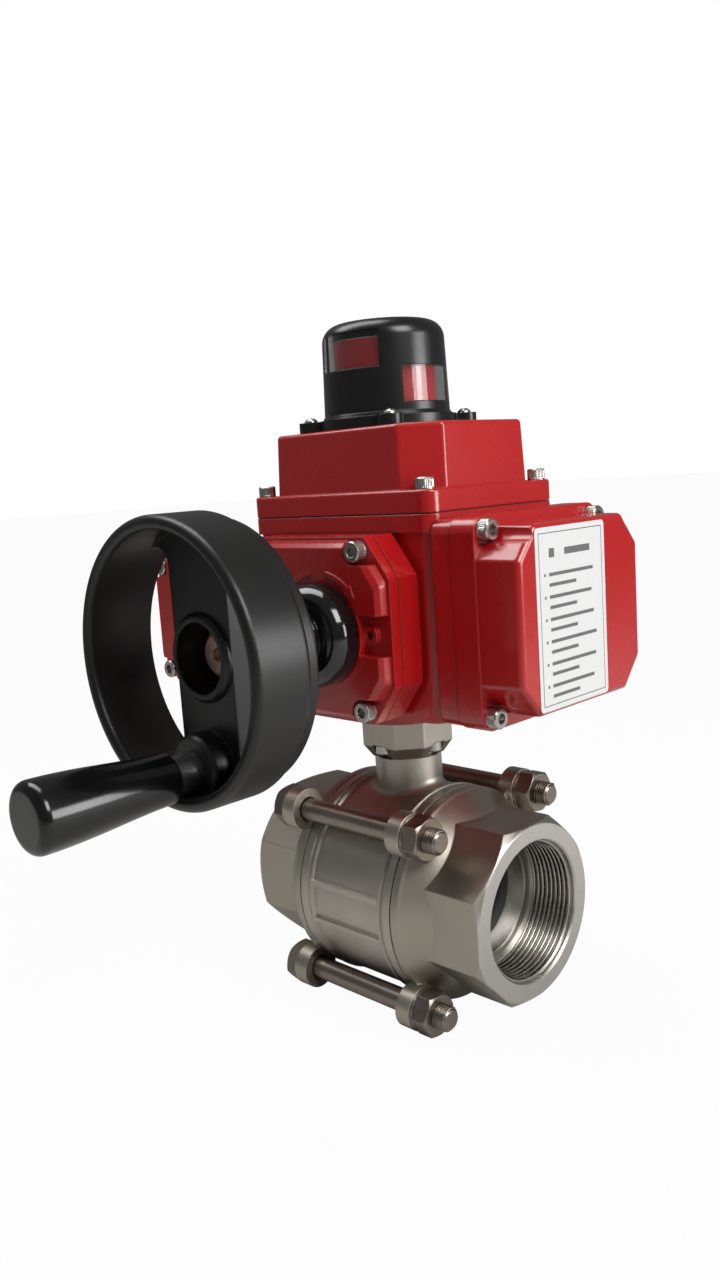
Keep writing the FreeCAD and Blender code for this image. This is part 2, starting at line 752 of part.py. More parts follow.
def gear_cover():
    base_low = boss_front - gasket
    flange = gear_box(0, cover_front, base_low)
    raised = join([rounded_plate(boss_points), rounded_plate(lobe_points)])
    for x, z in gear_screw_places():
        raised = cut(raised, notch(x, z, 1 if x > 0 else -1, 1 if z > box_mid_z else -1))
    stud_x = 36
    pocket = prism(rectangle(14, 8, stud_x + 3, axis_z), "y", plateau_front - 1, cover_front, 2.5)
    raised = raised.cut(pocket)
    stud = rod_y(3.8, cover_front - 2, cover_front + 1, stud_x, axis_z)
    collar = rod_y(21.5, plateau_front, cover_front, hand_x, axis_z)
    arrows = [direction_arrow(side) for side in (-1, 1)]
    shape = join([flange, raised, stud, collar] + arrows)
    hollow = gear_box(6.5, base_low - 4, base_low)
    shape = shape.cut(hollow)
    boss = rod_y(12, plateau_front + 1, boss_front - 2, hand_x, axis_z)
    shape = join([shape, boss])
    holes = [rod_y(bush_radius + 0.5, -60, boss_front, hand_x, axis_z),
             rod_y(1.7, cover_front - 3, cover_front + 1.5, stud_x, axis_z)]
    holes += [rod_y(cover_hole, plateau_front - 1, boss_front, x, z) for x, z in gear_screw_places()]
    return cut(shape, holes)


def direction_arrow(side):
    """Raised arc with an arrow head above the handwheel shaft."""
    outer = 25.2
    inner = 23.4
    arc = rod_y(outer, plateau_front - 0.6, plateau_front + 0.5, hand_x, axis_z)
    arc = arc.cut(rod_y(inner, plateau_front - 1, plateau_front + 1, hand_x, axis_z))
    start = radians(90 - side * 10)
    end = radians(90 - side * 42)
    corners = [(hand_x, axis_z), (hand_x + 60 * cos(start), axis_z + 60 * sin(start)),
               (hand_x + 60 * cos(end), axis_z + 60 * sin(end))]
    arc = arc.common(prism(corners, "y", plateau_front - 0.6, plateau_front + 0.5))
    middle = (inner + outer) / 2
    tip = (hand_x + middle * cos(end) + side * 3.2, axis_z + middle * sin(end) - 3.6)
    head = [(hand_x + (inner - 1.4) * cos(end), axis_z + (inner - 1.4) * sin(end)),
            (hand_x + (outer + 1.4) * cos(end), axis_z + (outer + 1.4) * sin(end)), tip]
    return join([arc, prism(head, "y", plateau_front - 0.6, plateau_front + 0.5)])


def gear_cover_gasket():
    front = boss_front - gasket
    shape = gear_box(0.3, front, boss_front).cut(gear_box(wall, front, boss_front))
    return cut(shape, [rod_y(cover_hole, front, boss_front, x, z) for x, z in gear_screw_places()])


def gear_cover_screws():
    return group([cap_screw(Vec(x, cover_front, z), Vec(0, -1, 0), 13) for x, z in gear_screw_places()])


def wiring_points(inset=0.0):
    return octagon(wiring_half_y - inset, wiring_half_z - inset, 11, 12.5, case_mid_y, ring_mid_z + 1)


def wiring_cover():
    low = ring_end + gasket
    flange = prism(ring_points(-0.4), "x", low, wiring_flange, ring_corner)
    box = taper(wiring_points(0), wiring_points(0.4), "x", wiring_flange - 1, wiring_end, 2.5, 2.5)
    rounded = [edge for edge in box.Edges if edge.BoundBox.XMin > wiring_end - 0.01]
    box = box.makeFillet(2.4, rounded)
    corner = cover_head + 1.0
    for y, z in ring_screw_places():
        relief = rod_x(corner, wiring_flange, wiring_end + 1, y, z)
        box = box.cut(relief)
    hollow = taper(wiring_points(wall), wiring_points(wall + draft), "x", low - 1, wiring_end - wall, 2, 2)
    shape = join([flange, box]).cut(hollow)
    return cut(shape, [rod_x(cover_hole, low - 1, wiring_flange + 1, y, z) for y, z in ring_screw_places()])


def wiring_cover_gasket():
    low = ring_end
    shape = prism(ring_points(0.4), "x", low, low + gasket, ring_corner - 1)
    shape = shape.cut(prism(ring_points(5), "x", low, low + gasket, 4))
    return cut(shape, [rod_x(cover_hole, low, low + gasket, y, z) for y, z in ring_screw_places()])


def wiring_cover_screws():
    return group([cap_screw(Vec(wiring_flange, y, z), Vec(1, 0, 0), 20) for y, z in ring_screw_places()])


def label_plate():
    return prism(rectangle(23, 34.5, -2.8, ring_mid_z + 1), "x", wiring_end, wiring_end + 0.3, 2)


def lid_points(half_x, half_y):
    return octagon(half_x, half_y, lid_cut, lid_cut, 0, case_mid_y)


def lid():
    low = rim_top + gasket
    flange = prism(rectangle(rim_half_x, rim_half_y, 0, case_mid_y), "z", low, lid_flange_top, 6)
    flange_rim = [edge for edge in flange.Edges if edge.BoundBox.ZMin > lid_flange_top - 0.01]
    flange = flange.makeFillet(1.2, flange_rim)
    box = taper(lid_points(lid_half_x + draft, lid_half_y + draft), lid_points(lid_half_x, lid_half_y),
                "z", lid_flange_top - 1, lid_top, 2, 2)
    box_rim = [edge for edge in box.Edges if edge.BoundBox.ZMin > lid_top - 0.01]
    box = box.makeFillet(1.8, box_rim)
    hollow = taper(lid_points(lid_half_x - wall + draft, lid_half_y - wall + draft),
                   lid_points(lid_half_x - wall, lid_half_y - wall), "z", low - 1, lid_top - wall, 2, 2)
    shape = join([flange, box]).cut(hollow)
    holes = [rod_z(5 + 0.3, lid_top - wall - 1, lid_top + 1)]
    holes += [rod_z(lid_hole, low - 1, lid_flange_top + 1, x, y) for x, y in lid_screw_places()]
    holes += [rod_z(1.6, lid_top - 3, lid_top + 1, x, y) for x, y in dome_screw_places()]
    return cut(shape, holes)


def lid_gasket():
    top = rim_top + gasket
    shape = prism(rectangle(rim_half_x - 0.5, rim_half_y - 0.5, 0, case_mid_y), "z", rim_top, top, 5.5)
    hollow = prism(plate_points(), "z", rim_top, top)
    holes = [rod_z(lid_hole, rim_top, top, x, y) for x, y in lid_screw_places()]
    return cut(shape, [hollow] + holes)


def lid_screws():
    return group([cap_screw(Vec(x, y, lid_flange_top), Vec(0, 0, 1), 19, lid_head, lid_head_height,
                            lid_shank, 1.6) for x, y in lid_screw_places()])


# ---------------------------------------------------------------- indicator
def dome_screw_places():
    return [(dome_screw_reach * a, dome_screw_reach * b) for a in (-1, 1) for b in (-1, 1)]


def window_places():
    """Middle angle, lowest and highest level of each window."""
    spans = [(window_low, window_split), (window_split, window_high)]
    return [(window_turn + 90 * i, spans[i % 2][0], spans[i % 2][1]) for i in range(4)]


def indicator_cover():
    shell = 2.2
    base = rod_z(30, lid_top, dome_base_top - 1.5)
    ears = [rod_z(5.2, lid_top, dome_base_top - 1.5, x, y) for x, y in dome_screw_places()]
    web = block(0, dome_screw_reach * sqrt(2), -5.2, 5.2, lid_top, dome_base_top - 1.5)
    webs = [turned_about_stem(web, 45 + 90 * i) for i in range(4)]
    skirt = cone_z(dome_radius + 1.2, dome_radius + 0.2, dome_base_top - 2, dome_base_top)
    dome = cone_z(dome_radius, dome_top_radius, dome_base_top - 2, dome_top)
    crown = [edge for edge in dome.Edges if edge.BoundBox.ZMin > dome_top - 0.01]
    dome = dome.makeFillet(7.5, crown)
    shape = join([base, skirt, dome] + ears + webs)
    hollow = cone_z(dome_radius - shell, dome_top_radius - shell, lid_top - 1, dome_top - shell)
    crown = [edge for edge in hollow.Edges if edge.BoundBox.ZMin > dome_top - shell - 0.01]
    shape = shape.cut(hollow.makeFillet(5.5, crown))
    windows = [sector(dome_radius + 3, dome_top_radius - 6, angle, window_angle, low, high)
               for angle, low, high in window_places()]
    holes = [rod_z(1.7, lid_top - 1, dome_base_top, x, y) for x, y in dome_screw_places()]
    return cut(shape, windows + holes)


def indicator_lens():
    """Clear panes that fill the windows, on a clear sleeve behind them."""
    inside = dome_top_radius - 2.2 - slack
    sleeve = ring_z(inside - 0.6, inside - 1.8, window_low - 1.5, window_high + 0.2)
    skin = cone_z(dome_radius - 0.15, dome_top_radius - 0.15, dome_base_top - 2, dome_top)
    panes = []
    gap = 0.1
    for angle, low, high in window_places():
        pane = sector(dome_radius + 3, inside - 1.8, angle, window_angle - 0.5, low + gap, high - gap)
        panes.append(pane.common(skin))
    return join([sleeve] + panes)


def indicator_drum():
    top = window_high - 2.5
    shape = join([rod_z(drum_radius, dome_base_top, top), rod_z(8, lid_top + 1, dome_base_top)])
    return cut(shape, [rod_z(5.02, lid_top, 217), rod_z(drum_radius - 2.5, 218, top - 2.5)])


def flags(turn):
    """Coloured bands round the drum, a quarter turn each, alternating in height."""
    bands = []
    levels = [(dome_base_top + 2, window_split - 0.2), (window_split + 0.2, window_high - 3)]
    for i in range(4):
        low, high = levels[(i + turn) % 2]
        bands.append(sector(drum_radius + 0.6, drum_radius, window_turn + 90 * i, 89, low, high))
    return group(bands)


def closed_flags():
    return flags(0)


def open_flags():
    return flags(1)


def indicator_screws():
    seat = dome_base_top - 1.5
    profile = [(-7.5, 0), (-7.5, 1.5), (0, 1.5), (0, 3), (0.9, 2.7), (1.8, 1.6), (2.1, 0)]
    return group([turned(profile, Vec(x, y, seat), Vec(0, 0, 1)) for x, y in dome_screw_places()])


# ------------------------------------------------------------ wiring inside
def limit_cams():
    cams = []
    for index, z in enumerate((170, 180)):
        disc = rod_z(10, z, z + 6)
        lobe = sector(12, 9, 200 + 90 * index, 60, z, z + 6)
        cams.append(join([disc, lobe]).cut(rod_z(7.02, z, z + 6)))
    return group(cams)


def switch_bracket():
    upright = block(-33, -30, -10, 14, plate_high, 190)
    foot = block(-33, -18, -10, 14, plate_high, plate_high + 3)
    return join([upright, foot])


def limit_switches():
    switches = []
    for z in (170, 180):
        body = block(-30, -16, -8, 12, z, z + 6.2)
        lever = rod_z(1.6, z + 1, z + 5, -14.2, 0)
        switches.append(join([body, block(-16.5, -14, -1, 1, z + 2, z + 4), lever]))
    return group(switches)


def control_board():
    board = block(board_face - 1.6, board_face, -22, 32, 100, 153)
    spacers = [rod_x(3, board_face - 9.1, board_face - 1.6, y, z) for y in (-16, 26) for z in (106, 147)]
    relay = block(board_face, board_face + 8.4, -16, -4, 140, 150)
    capacitors = [rod_x(5, board_face, board_face + 12.4, 22, 142),
                  rod_x(4, board_face, board_face + 6.4, 8, 144)]
    return join([board, relay] + spacers + capacitors)


def terminal_block():
    front = board_face + 12.4
    body = block(board_face, front, -18, 28, 106, 122)
    slots = [block(front - 6, front + 1, -16 + 5.5 * i, -12 + 5.5 * i, 111, 123) for i in range(8)]
    return cut(body, slots)


def cable_glands():
    glands = []
    back_y = case_mid_y + rim_half_y + 4
    for x, _ in gland_places():
        thread = rod_y(gland_radius - 0.1, inner_back, back_y, x, gland_z)
        flange = hexagon(12, "y", back_y, back_y + 6, x, gland_z, pi / 6)
        nut = turned([(6, 0), (6, 11.5), (13, 11.5), (18, 8), (18, 0)],
                     Vec(x, back_y, gland_z), Vec(0, 1, 0))
        gland = join([thread, flange, nut])
        glands.append(gland.cut(rod_y(5, inner_back, back_y + 19, x, gland_z)))
    return group(glands)


# ---------------------------------------------------------------- handwheel
def shaft_sleeve():
    """Black sleeve that carries the handwheel shaft out of the gear cover."""
    back = plateau_front - 0.6
    disc = rod_y(sleeve_radius, back - 13, back, hand_x, axis_z)
    shoulder = [edge for edge in disc.Edges if edge.BoundBox.YMax < back - 12.9]
    disc = disc.makeFillet(8, shoulder)
    neck = rod_y(13, back - 26, back, hand_x, axis_z)
    lip = [edge for edge in neck.Edges if edge.BoundBox.YMax < back - 25.9]
    shape = disc.fuse(neck.makeFillet(2, lip))
    return shape.cut(rod_y(hand_journal + running, -90, -55, hand_x, axis_z))


def wheel_openings():
    """The two rounded openings between the web and the rim."""
    inner = wheel_radius - rim_wall
    openings = []
    for side in (-1, 1):
        far = hand_x + side * (wheel_radius + 5)
        near = hand_x + side * web_half
        slab = block(min(near, far), max(near, far), web_front - 1, web_back + 1,
                     axis_z - inner, axis_z + inner)
        opening = slab.common(rod_y(inner, web_front - 1, web_back + 1, hand_x, axis_z))
        corners = [edge for edge in opening.Edges
                   if edge.BoundBox.XLength < 0.01 and edge.BoundBox.ZLength < 0.01 and
                   abs(abs(edge.BoundBox.Center.x - hand_x) - web_half) < 0.1]
        openings.append(opening.makeFillet(web_round, corners))
    return openings


def handwheel():
    rim = ring_y(wheel_radius, wheel_radius - rim_wall, wheel_front, wheel_back, hand_x, axis_z)
    edges = [edge for edge in rim.Edges if edge.Length > 10 * rim_wall and edge.BoundBox.YLength < 0.01]
    rim = rim.makeFillet(2.4, edges)
    plate = rod_y(wheel_radius - rim_wall / 2, web_front, web_back, hand_x, axis_z)
    web = cut(plate, wheel_openings())
    hub_front = web_front - 2.5
    hub = turned([(0, 0), (0, web_half - 1.4), (1.4, web_half), (4, web_half), (14, web_half - 1),
                  (33, 12.5), (33, 0)], Vec(hand_x, hub_front, axis_z), Vec(0, 1, 0))
    handle_z = axis_z - handle_drop
    seat = turned([(0, 0), (0, 11.8), (1.4, 13), (14, 13), (14, 0)],
                  Vec(hand_x, seat_front, handle_z), Vec(0, 1, 0))
    seat = seat.common(rod_y(wheel_radius - 1, -130, -100, hand_x, axis_z))
    shape = join([rim, web, hub, seat])
    depth = hub_floor - hub_front
    holes = [turned([(-1, 0), (-1, hub_mouth + 0.4), (depth, hub_mouth - 1.2), (depth, 0)],
                    Vec(hand_x, hub_front, axis_z), Vec(0, 1, 0)),
             rod_y(hand_journal + 0.02, hub_floor - 1, -80, hand_x, axis_z),
             rod_y(5.02, -128, -107, hand_x, handle_z)]
    return cut(shape, holes)


def wheel_washer():
    return ring_y(10.4, 2.7, hub_floor - 1.5, hub_floor, hand_x, axis_z)


def wheel_bolt():
    return cap_screw(Vec(hand_x, hub_floor - 1.5, axis_z), Vec(0, -1, 0), 13, 7.8, 3.2, 2.45, 2.5)


def handle_spindle():
    handle_z = axis_z - handle_drop
    base = Vec(hand_x, grip_start + 0.3, handle_z)
    collar = seat_front - grip_start - 0.3
    profile = [(0, 4), (0, 7.2), (collar, 7.2), (collar, 5), (20, 5), (20, 0),
               (-52, 0), (-52, 6), (-48, 6), (-48, 4)]
    return turned(profile, base, Vec(0, 1, 0))


def handle_grip():
    """Grip that swells smoothly towards its rounded end."""
    length = grip_start - grip_end
    base = Vec(hand_x, grip_start, axis_z - handle_drop)

    def at(along, radius):
        return base + Vec(0, -along, radius)

    swell = Part.BSplineCurve()
    swell.interpolate([at(1.5, grip_small), at(length * 0.22, grip_small + 0.5),
                       at(length * 0.5, grip_small + 1.9), at(length * 0.78, grip_big - 0.2),
                       at(length - grip_round, grip_big)])
    bulge = 0.29 * grip_round      # how far the corner's arc stays inside its square
    corner = Part.Arc(at(length - grip_round, grip_big), at(length - bulge, grip_big - bulge),
                      at(length, grip_big - grip_round))
    inside = [at(length, grip_big - grip_round), at(length, 0), at(length - 3, 0),
              at(length - 3, 6.5), at(47, 6.5), at(47, 4 + running), at(0, 4 + running),
              at(0, grip_small - 1.5), at(1.5, grip_small)]
    edges = [swell.toShape(), corner.toShape()]
    edges += [Part.makeLine(start, end) for start, end in zip(inside, inside[1:])]
    return Part.Face(Part.Wire(edges)).revolve(base, Vec(0, 1, 0), 360)


nodes = {
    "valve_body": valve_body,
    "end_cap_right": end_cap,
    "end_cap_left": lambda: turned_about_stem(end_cap(), 180),
    "body_seals": body_seals,
    "ball": ball,
    "ball_seats": ball_seats,
    "valve_stem": valve_stem,
    "thrust_washer": thrust_washer,
    "stem_packing": stem_packing,
    "gland_nut": gland_nut,
    "tie_bolts": tie_bolts,
    "tie_washers": tie_washers,
    "tie_nuts": tie_nuts,
    "gear_case": gear_case,
    "pad_screws": pad_screws,
    "bearing_plate": bearing_plate,
    "lower_bush": lower_bush,
    "upper_bush": upper_bush,
    "output_shaft": output_shaft,
    "worm_wheel": worm_wheel,
    "worm_shaft": worm_shaft,
    "worm_gear": worm_gear,
    "worm_bearings": worm_bearings,
    "handwheel_shaft": handwheel_shaft,
    "handwheel_gear": handwheel_gear,
    "handwheel_bushes": handwheel_bushes,
    "motor_body": motor_body,
    "motor_shaft": motor_shaft,
    "motor_pinion": motor_pinion,
    "start_capacitor": start_capacitor,
    "gear_cover": gear_cover,
    "gear_cover_gasket": gear_cover_gasket,
    "gear_cover_screws": gear_cover_screws,
    "wiring_cover": wiring_cover,
    "wiring_cover_gasket": wiring_cover_gasket,
    "wiring_cover_screws": wiring_cover_screws,
    "label_plate": label_plate,
    "lid": lid,
    "lid_gasket": lid_gasket,
    "lid_screws": lid_screws,
    "indicator_cover": indicator_cover,
    "indicator_lens": indicator_lens,
    "indicator_drum": indicator_drum,
    "closed_flags": closed_flags,
    "open_flags": open_flags,
    "indicator_screws": indicator_screws,
    "limit_cams": limit_cams,
    "switch_bracket": switch_bracket,
    "limit_switches": limit_switches,
    "control_board": control_board,
    "terminal_block": terminal_block,
    "cable_glands": cable_glands,
    "shaft_sleeve": shaft_sleeve,
    "handwheel": handwheel,
    "wheel_washer": wheel_washer,
    "wheel_bolt": wheel_bolt,
    "handle_spindle": handle_spindle,
    "handle_grip": handle_grip,
}

os.makedirs("parts", exist_ok=True)
for name, make in nodes.items():
    shape = make()
    solids = len(shape.Solids)
    print(f"{name:22s} solids {solids}  volume {shape.Volume / 1000:9.2f} cm3  valid {shape.isValid()}")
    shape.exportStep(os.path.join("parts", name + ".step"))
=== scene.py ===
import json
import math

import bpy
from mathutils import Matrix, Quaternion, Vector


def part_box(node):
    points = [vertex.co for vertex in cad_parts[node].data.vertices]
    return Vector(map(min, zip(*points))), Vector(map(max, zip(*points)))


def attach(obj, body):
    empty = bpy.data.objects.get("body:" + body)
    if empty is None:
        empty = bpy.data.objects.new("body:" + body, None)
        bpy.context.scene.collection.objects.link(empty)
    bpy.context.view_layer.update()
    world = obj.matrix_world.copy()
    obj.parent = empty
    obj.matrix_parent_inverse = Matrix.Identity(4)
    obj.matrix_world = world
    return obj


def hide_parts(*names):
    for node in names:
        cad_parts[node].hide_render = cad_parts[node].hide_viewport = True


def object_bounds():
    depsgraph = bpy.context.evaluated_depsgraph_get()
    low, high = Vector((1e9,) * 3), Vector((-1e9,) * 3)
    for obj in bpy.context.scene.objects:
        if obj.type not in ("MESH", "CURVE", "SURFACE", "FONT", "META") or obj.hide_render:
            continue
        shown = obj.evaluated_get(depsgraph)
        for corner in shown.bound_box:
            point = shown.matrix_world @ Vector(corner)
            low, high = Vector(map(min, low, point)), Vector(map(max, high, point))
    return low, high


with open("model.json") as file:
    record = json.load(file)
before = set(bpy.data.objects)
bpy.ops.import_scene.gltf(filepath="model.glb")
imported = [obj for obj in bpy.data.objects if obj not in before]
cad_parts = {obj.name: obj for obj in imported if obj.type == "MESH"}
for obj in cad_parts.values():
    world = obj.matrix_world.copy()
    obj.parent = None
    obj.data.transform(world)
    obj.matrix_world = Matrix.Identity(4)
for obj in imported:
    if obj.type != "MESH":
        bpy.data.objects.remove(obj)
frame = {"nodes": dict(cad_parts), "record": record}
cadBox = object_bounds()
nodes = frame["nodes"]
mm = 0.001

# camera and light
view = {
    "place": Vector((0.3200, -0.3409, 0.1848)),
    "azimuth": 45.45,       # degrees round from the front
    "elevation": 8.79,      # degrees looking down
    "roll": 3.86,           # degrees, clockwise
    "lens": 29.68,          # mm on a 36 mm sensor
}
studio = {
    "floorColour": (0.62, 0.61, 0.60, 1),
    "worldColour": (1.0, 1.0, 1.0, 1),
    "worldStrength": 0.16,
    "backdrop": 1.0,        # strength of the backdrop behind the object
    "floorGlow": 0.96,      # share of plain white in the floor that is seen directly
    "floorRoughness": 0.9,
    "floorReach": 12.0,     # m from the middle to each edge
    "aim": (0, 0, 0.1),     # the point that every lamp faces
    "lamps": {              # place, width, height and power
        "key": ((0.85, -0.10, 0.80), 0.5, 0.5, 8.0),
        "side": ((0.95, 0.40, 0.25), 0.4, 0.4, 4.5),
        "top": ((-0.35, -0.15, 1.05), 0.45, 0.9, 7.0),
    },
}


def mathNode(tree, operation, first, second=None, clamp=False):
    node = tree.nodes.new("ShaderNodeMath")
    node.operation = operation
    node.use_clamp = clamp
    for socket, value in zip(node.inputs, (first, second)):
        if value is None:
            continue
        if isinstance(value, (int, float)):
            socket.default_value = value
        else:
            tree.links.new(value, socket)
    return node.outputs[0]


def makeCamera():
    data = bpy.data.cameras.new("camera")
    data.lens = view["lens"]
    data.sensor_width = 36
    data.sensor_fit = "AUTO"
    data.clip_start = 0.01
    camera = bpy.data.objects.new("camera", data)
    bpy.context.scene.collection.objects.link(camera)
    turn = math.radians(view["azimuth"])
    tilt = math.radians(view["elevation"])
    ahead = Vector((-math.sin(turn) * math.cos(tilt), math.cos(turn) * math.cos(tilt), -math.sin(tilt)))
    aim = ahead.to_track_quat("-Z", "Y") @ Quaternion((0, 0, 1), -math.radians(view["roll"]))
    camera.location = view["place"]
    camera.rotation_mode = "QUATERNION"
    camera.rotation_quaternion = aim
    bpy.context.scene.camera = camera


def makeLamp(name, place, width, height, power):
    data = bpy.data.lights.new(name, "AREA")
    data.shape = "RECTANGLE"
    data.size = width
    data.size_y = height
    data.energy = power
    lamp = bpy.data.objects.new(name, data)
    bpy.context.scene.collection.objects.link(lamp)
    lamp.location = place
    lamp.rotation_mode = "QUATERNION"
    lamp.rotation_quaternion = (Vector(studio["aim"]) - Vector(place)).to_track_quat("-Z", "Y")


def makeStudio():
    mesh = bpy.data.meshes.new("floor")
    low = cadBox[0][2]
    reach = studio["floorReach"]
    mesh.from_pydata([(-reach, -reach, low), (reach, -reach, low), (reach, reach, low), (-reach, reach, low)],
                     [], [(0, 1, 2, 3)])
    floor = bpy.data.objects.new("floor", mesh)
    bpy.context.scene.collection.objects.link(floor)
    material = bpy.data.materials.new("floor")
    material.use_nodes = True
    tree = material.node_tree
    shader = tree.nodes["Principled BSDF"]
    shader.inputs["Base Color"].default_value = studio["floorColour"]
    shader.inputs["Roughness"].default_value = studio["floorRoughness"]
    # the camera sees the floor nearly white, with the soft shadow still on it
    glow = tree.nodes.new("ShaderNodeEmission")
    glow.inputs["Color"].default_value = studio["worldColour"]
    direct = tree.nodes.new("ShaderNodeLightPath").outputs["Is Camera Ray"]
    seen = mathNode(tree, "MULTIPLY", direct, studio["floorGlow"])
    blend = tree.nodes.new("ShaderNodeMixShader")
    tree.links.new(seen, blend.inputs[0])
    tree.links.new(shader.outputs[0], blend.inputs[1])
    tree.links.new(glow.outputs[0], blend.inputs[2])
    tree.links.new(blend.outputs[0], tree.nodes["Material Output"].inputs["Surface"])
    mesh.materials.append(material)
    world = bpy.data.worlds.new("world")
    world.use_nodes = True
    tree = world.node_tree
    sky = tree.nodes["Background"]
    sky.inputs["Color"].default_value = studio["worldColour"]
    seen = tree.nodes.new("ShaderNodeLightPath").outputs["Is Camera Ray"]
    gain = mathNode(tree, "MULTIPLY", seen, studio["backdrop"] - studio["worldStrength"])
    tree.links.new(mathNode(tree, "ADD", gain, studio["worldStrength"]), sky.inputs["Strength"])
    bpy.context.scene.world = world
    for name, (place, width, height, power) in studio["lamps"].items():
        makeLamp(name, place, width, height, power)


makeCamera()
makeStudio()
bpy.context.scene.view_settings.view_transform = "Standard"
print("camera and studio ready")


# effects that several materials share
bevelSamples = 4
fineDetail = 3
coarseDetail = 4
edgeNoiseScale = 180
edgeMaskRadius = 0.0007           # m, the rounding that finds the sharp edges


def newGroup(name, inputs, outputs):
    group = bpy.data.node_groups.new(name, "ShaderNodeTree")
    for label, kind, value in inputs:
        socket = group.interface.new_socket(name=label, in_out="INPUT", socket_type=kind)
        if value is not None:
            socket.default_value = value
    for label, kind in outputs:
        group.interface.new_socket(name=label, in_out="OUTPUT", socket_type=kind)
    return group, group.nodes.new("NodeGroupInput"), group.nodes.new("NodeGroupOutput")


def buildGrainGroup():
    # fine and coarse noise together: height for the bump, mask for colour and gloss
    group, source, sink = newGroup(
        "grain",
        [("Scale", "NodeSocketFloat", 400.0), ("Coarse", "NodeSocketFloat", 30.0),
         ("Contrast", "NodeSocketFloat", 1.0)],
        [("Height", "NodeSocketFloat"), ("Mask", "NodeSocketFloat")])
    where = group.nodes.new("ShaderNodeTexCoord")
    fine = group.nodes.new("ShaderNodeTexNoise")
    fine.inputs["Detail"].default_value = fineDetail
    coarse = group.nodes.new("ShaderNodeTexNoise")
    coarse.inputs["Detail"].default_value = coarseDetail
    for noise, name in ((fine, "Scale"), (coarse, "Coarse")):
        group.links.new(where.outputs["Object"], noise.inputs["Vector"])
        group.links.new(source.outputs[name], noise.inputs["Scale"])
    group.links.new(fine.outputs["Fac"], sink.inputs["Height"])
    centred = mathNode(group, "SUBTRACT", coarse.outputs["Fac"], 0.5)
    scaled = mathNode(group, "MULTIPLY", centred, source.outputs["Contrast"])
    group.links.new(mathNode(group, "ADD", scaled, 0.5, True), sink.inputs["Mask"])
    return group


def buildLighterEdgeGroup():
    # how far the rounded normal leaves the flat one: 1 along sharp edges
    group, source, sink = newGroup(
        "lighterEdges",
        [("Radius", "NodeSocketFloat", 0.0008), ("Gain", "NodeSocketFloat", 6.0),
         ("Ragged", "NodeSocketFloat", 0.6)],
        [("Mask", "NodeSocketFloat")])
    bevel = group.nodes.new("ShaderNodeBevel")
    bevel.samples = bevelSamples
    group.links.new(source.outputs["Radius"], bevel.inputs["Radius"])
    geometry = group.nodes.new("ShaderNodeNewGeometry")
    dot = group.nodes.new("ShaderNodeVectorMath")
    dot.operation = "DOT_PRODUCT"
    group.links.new(bevel.outputs["Normal"], dot.inputs[0])
    group.links.new(geometry.outputs["Normal"], dot.inputs[1])
    sharp = mathNode(group, "SUBTRACT", 1.0, dot.outputs["Value"])
    strong = mathNode(group, "MULTIPLY", sharp, source.outputs["Gain"])
    where = group.nodes.new("ShaderNodeTexCoord")
    noise = group.nodes.new("ShaderNodeTexNoise")
    noise.inputs["Scale"].default_value = edgeNoiseScale
    group.links.new(where.outputs["Object"], noise.inputs["Vector"])
    broken = mathNode(group, "MULTIPLY", noise.outputs["Fac"], source.outputs["Ragged"])
    group.links.new(mathNode(group, "SUBTRACT", strong, broken, True), sink.inputs["Mask"])
    return group


def buildMachinedGroup():
    # 1 on the turned faces of an end cap: its outer end and the inside of its mouth
    group, source, sink = newGroup(
        "machinedZone", [("End", "NodeSocketFloat", 0.0665), ("Bore", "NodeSocketFloat", 0.0306)],
        [("Mask", "NodeSocketFloat")])
    place = group.nodes.new("ShaderNodeTexCoord")
    parts = group.nodes.new("ShaderNodeSeparateXYZ")
    group.links.new(place.outputs["Object"], parts.inputs[0])
    along = mathNode(group, "ABSOLUTE", parts.outputs["X"])
    atEnd = mathNode(group, "GREATER_THAN", along, source.outputs["End"])
    squares = [mathNode(group, "MULTIPLY", parts.outputs[axis], parts.outputs[axis]) for axis in ("Y", "Z")]
    radius = mathNode(group, "SQRT", mathNode(group, "ADD", squares[0], squares[1]))
    inBore = mathNode(group, "LESS_THAN", radius, source.outputs["Bore"])
    group.links.new(mathNode(group, "MAXIMUM", atEnd, inBore), sink.inputs["Mask"])
    return group


grainGroup = buildGrainGroup()
lighterEdgeGroup = buildLighterEdgeGroup()
machinedGroup = buildMachinedGroup()


def newMaterial(name):
    material = bpy.data.materials.new(name)
    material.use_nodes = True
    tree = material.node_tree
    return material, tree, tree.nodes["Principled BSDF"]


def placeGroup(tree, group, **values):
    node = tree.nodes.new("ShaderNodeGroup")
    node.node_tree = group
    for name, value in values.items():
        node.inputs[name].default_value = value
    return node


def mixColour(tree, mask, first, second):
    node = tree.nodes.new("ShaderNodeMix")
    node.data_type = "RGBA"
    sockets = [socket for socket in node.inputs if socket.type == "RGBA"]
    for socket, value in zip(sockets, (first, second)):
        if isinstance(value, tuple):
            socket.default_value = value
        else:
            tree.links.new(value, socket)
    tree.links.new(mask, node.inputs["Factor"])
    return [socket for socket in node.outputs if socket.type == "RGBA"][0]


def spread(tree, mask, low, high):
    node = tree.nodes.new("ShaderNodeMapRange")
    node.inputs["To Min"].default_value = low
    node.inputs["To Max"].default_value = high
    tree.links.new(mask, node.inputs["Value"])
    return node.outputs["Result"]


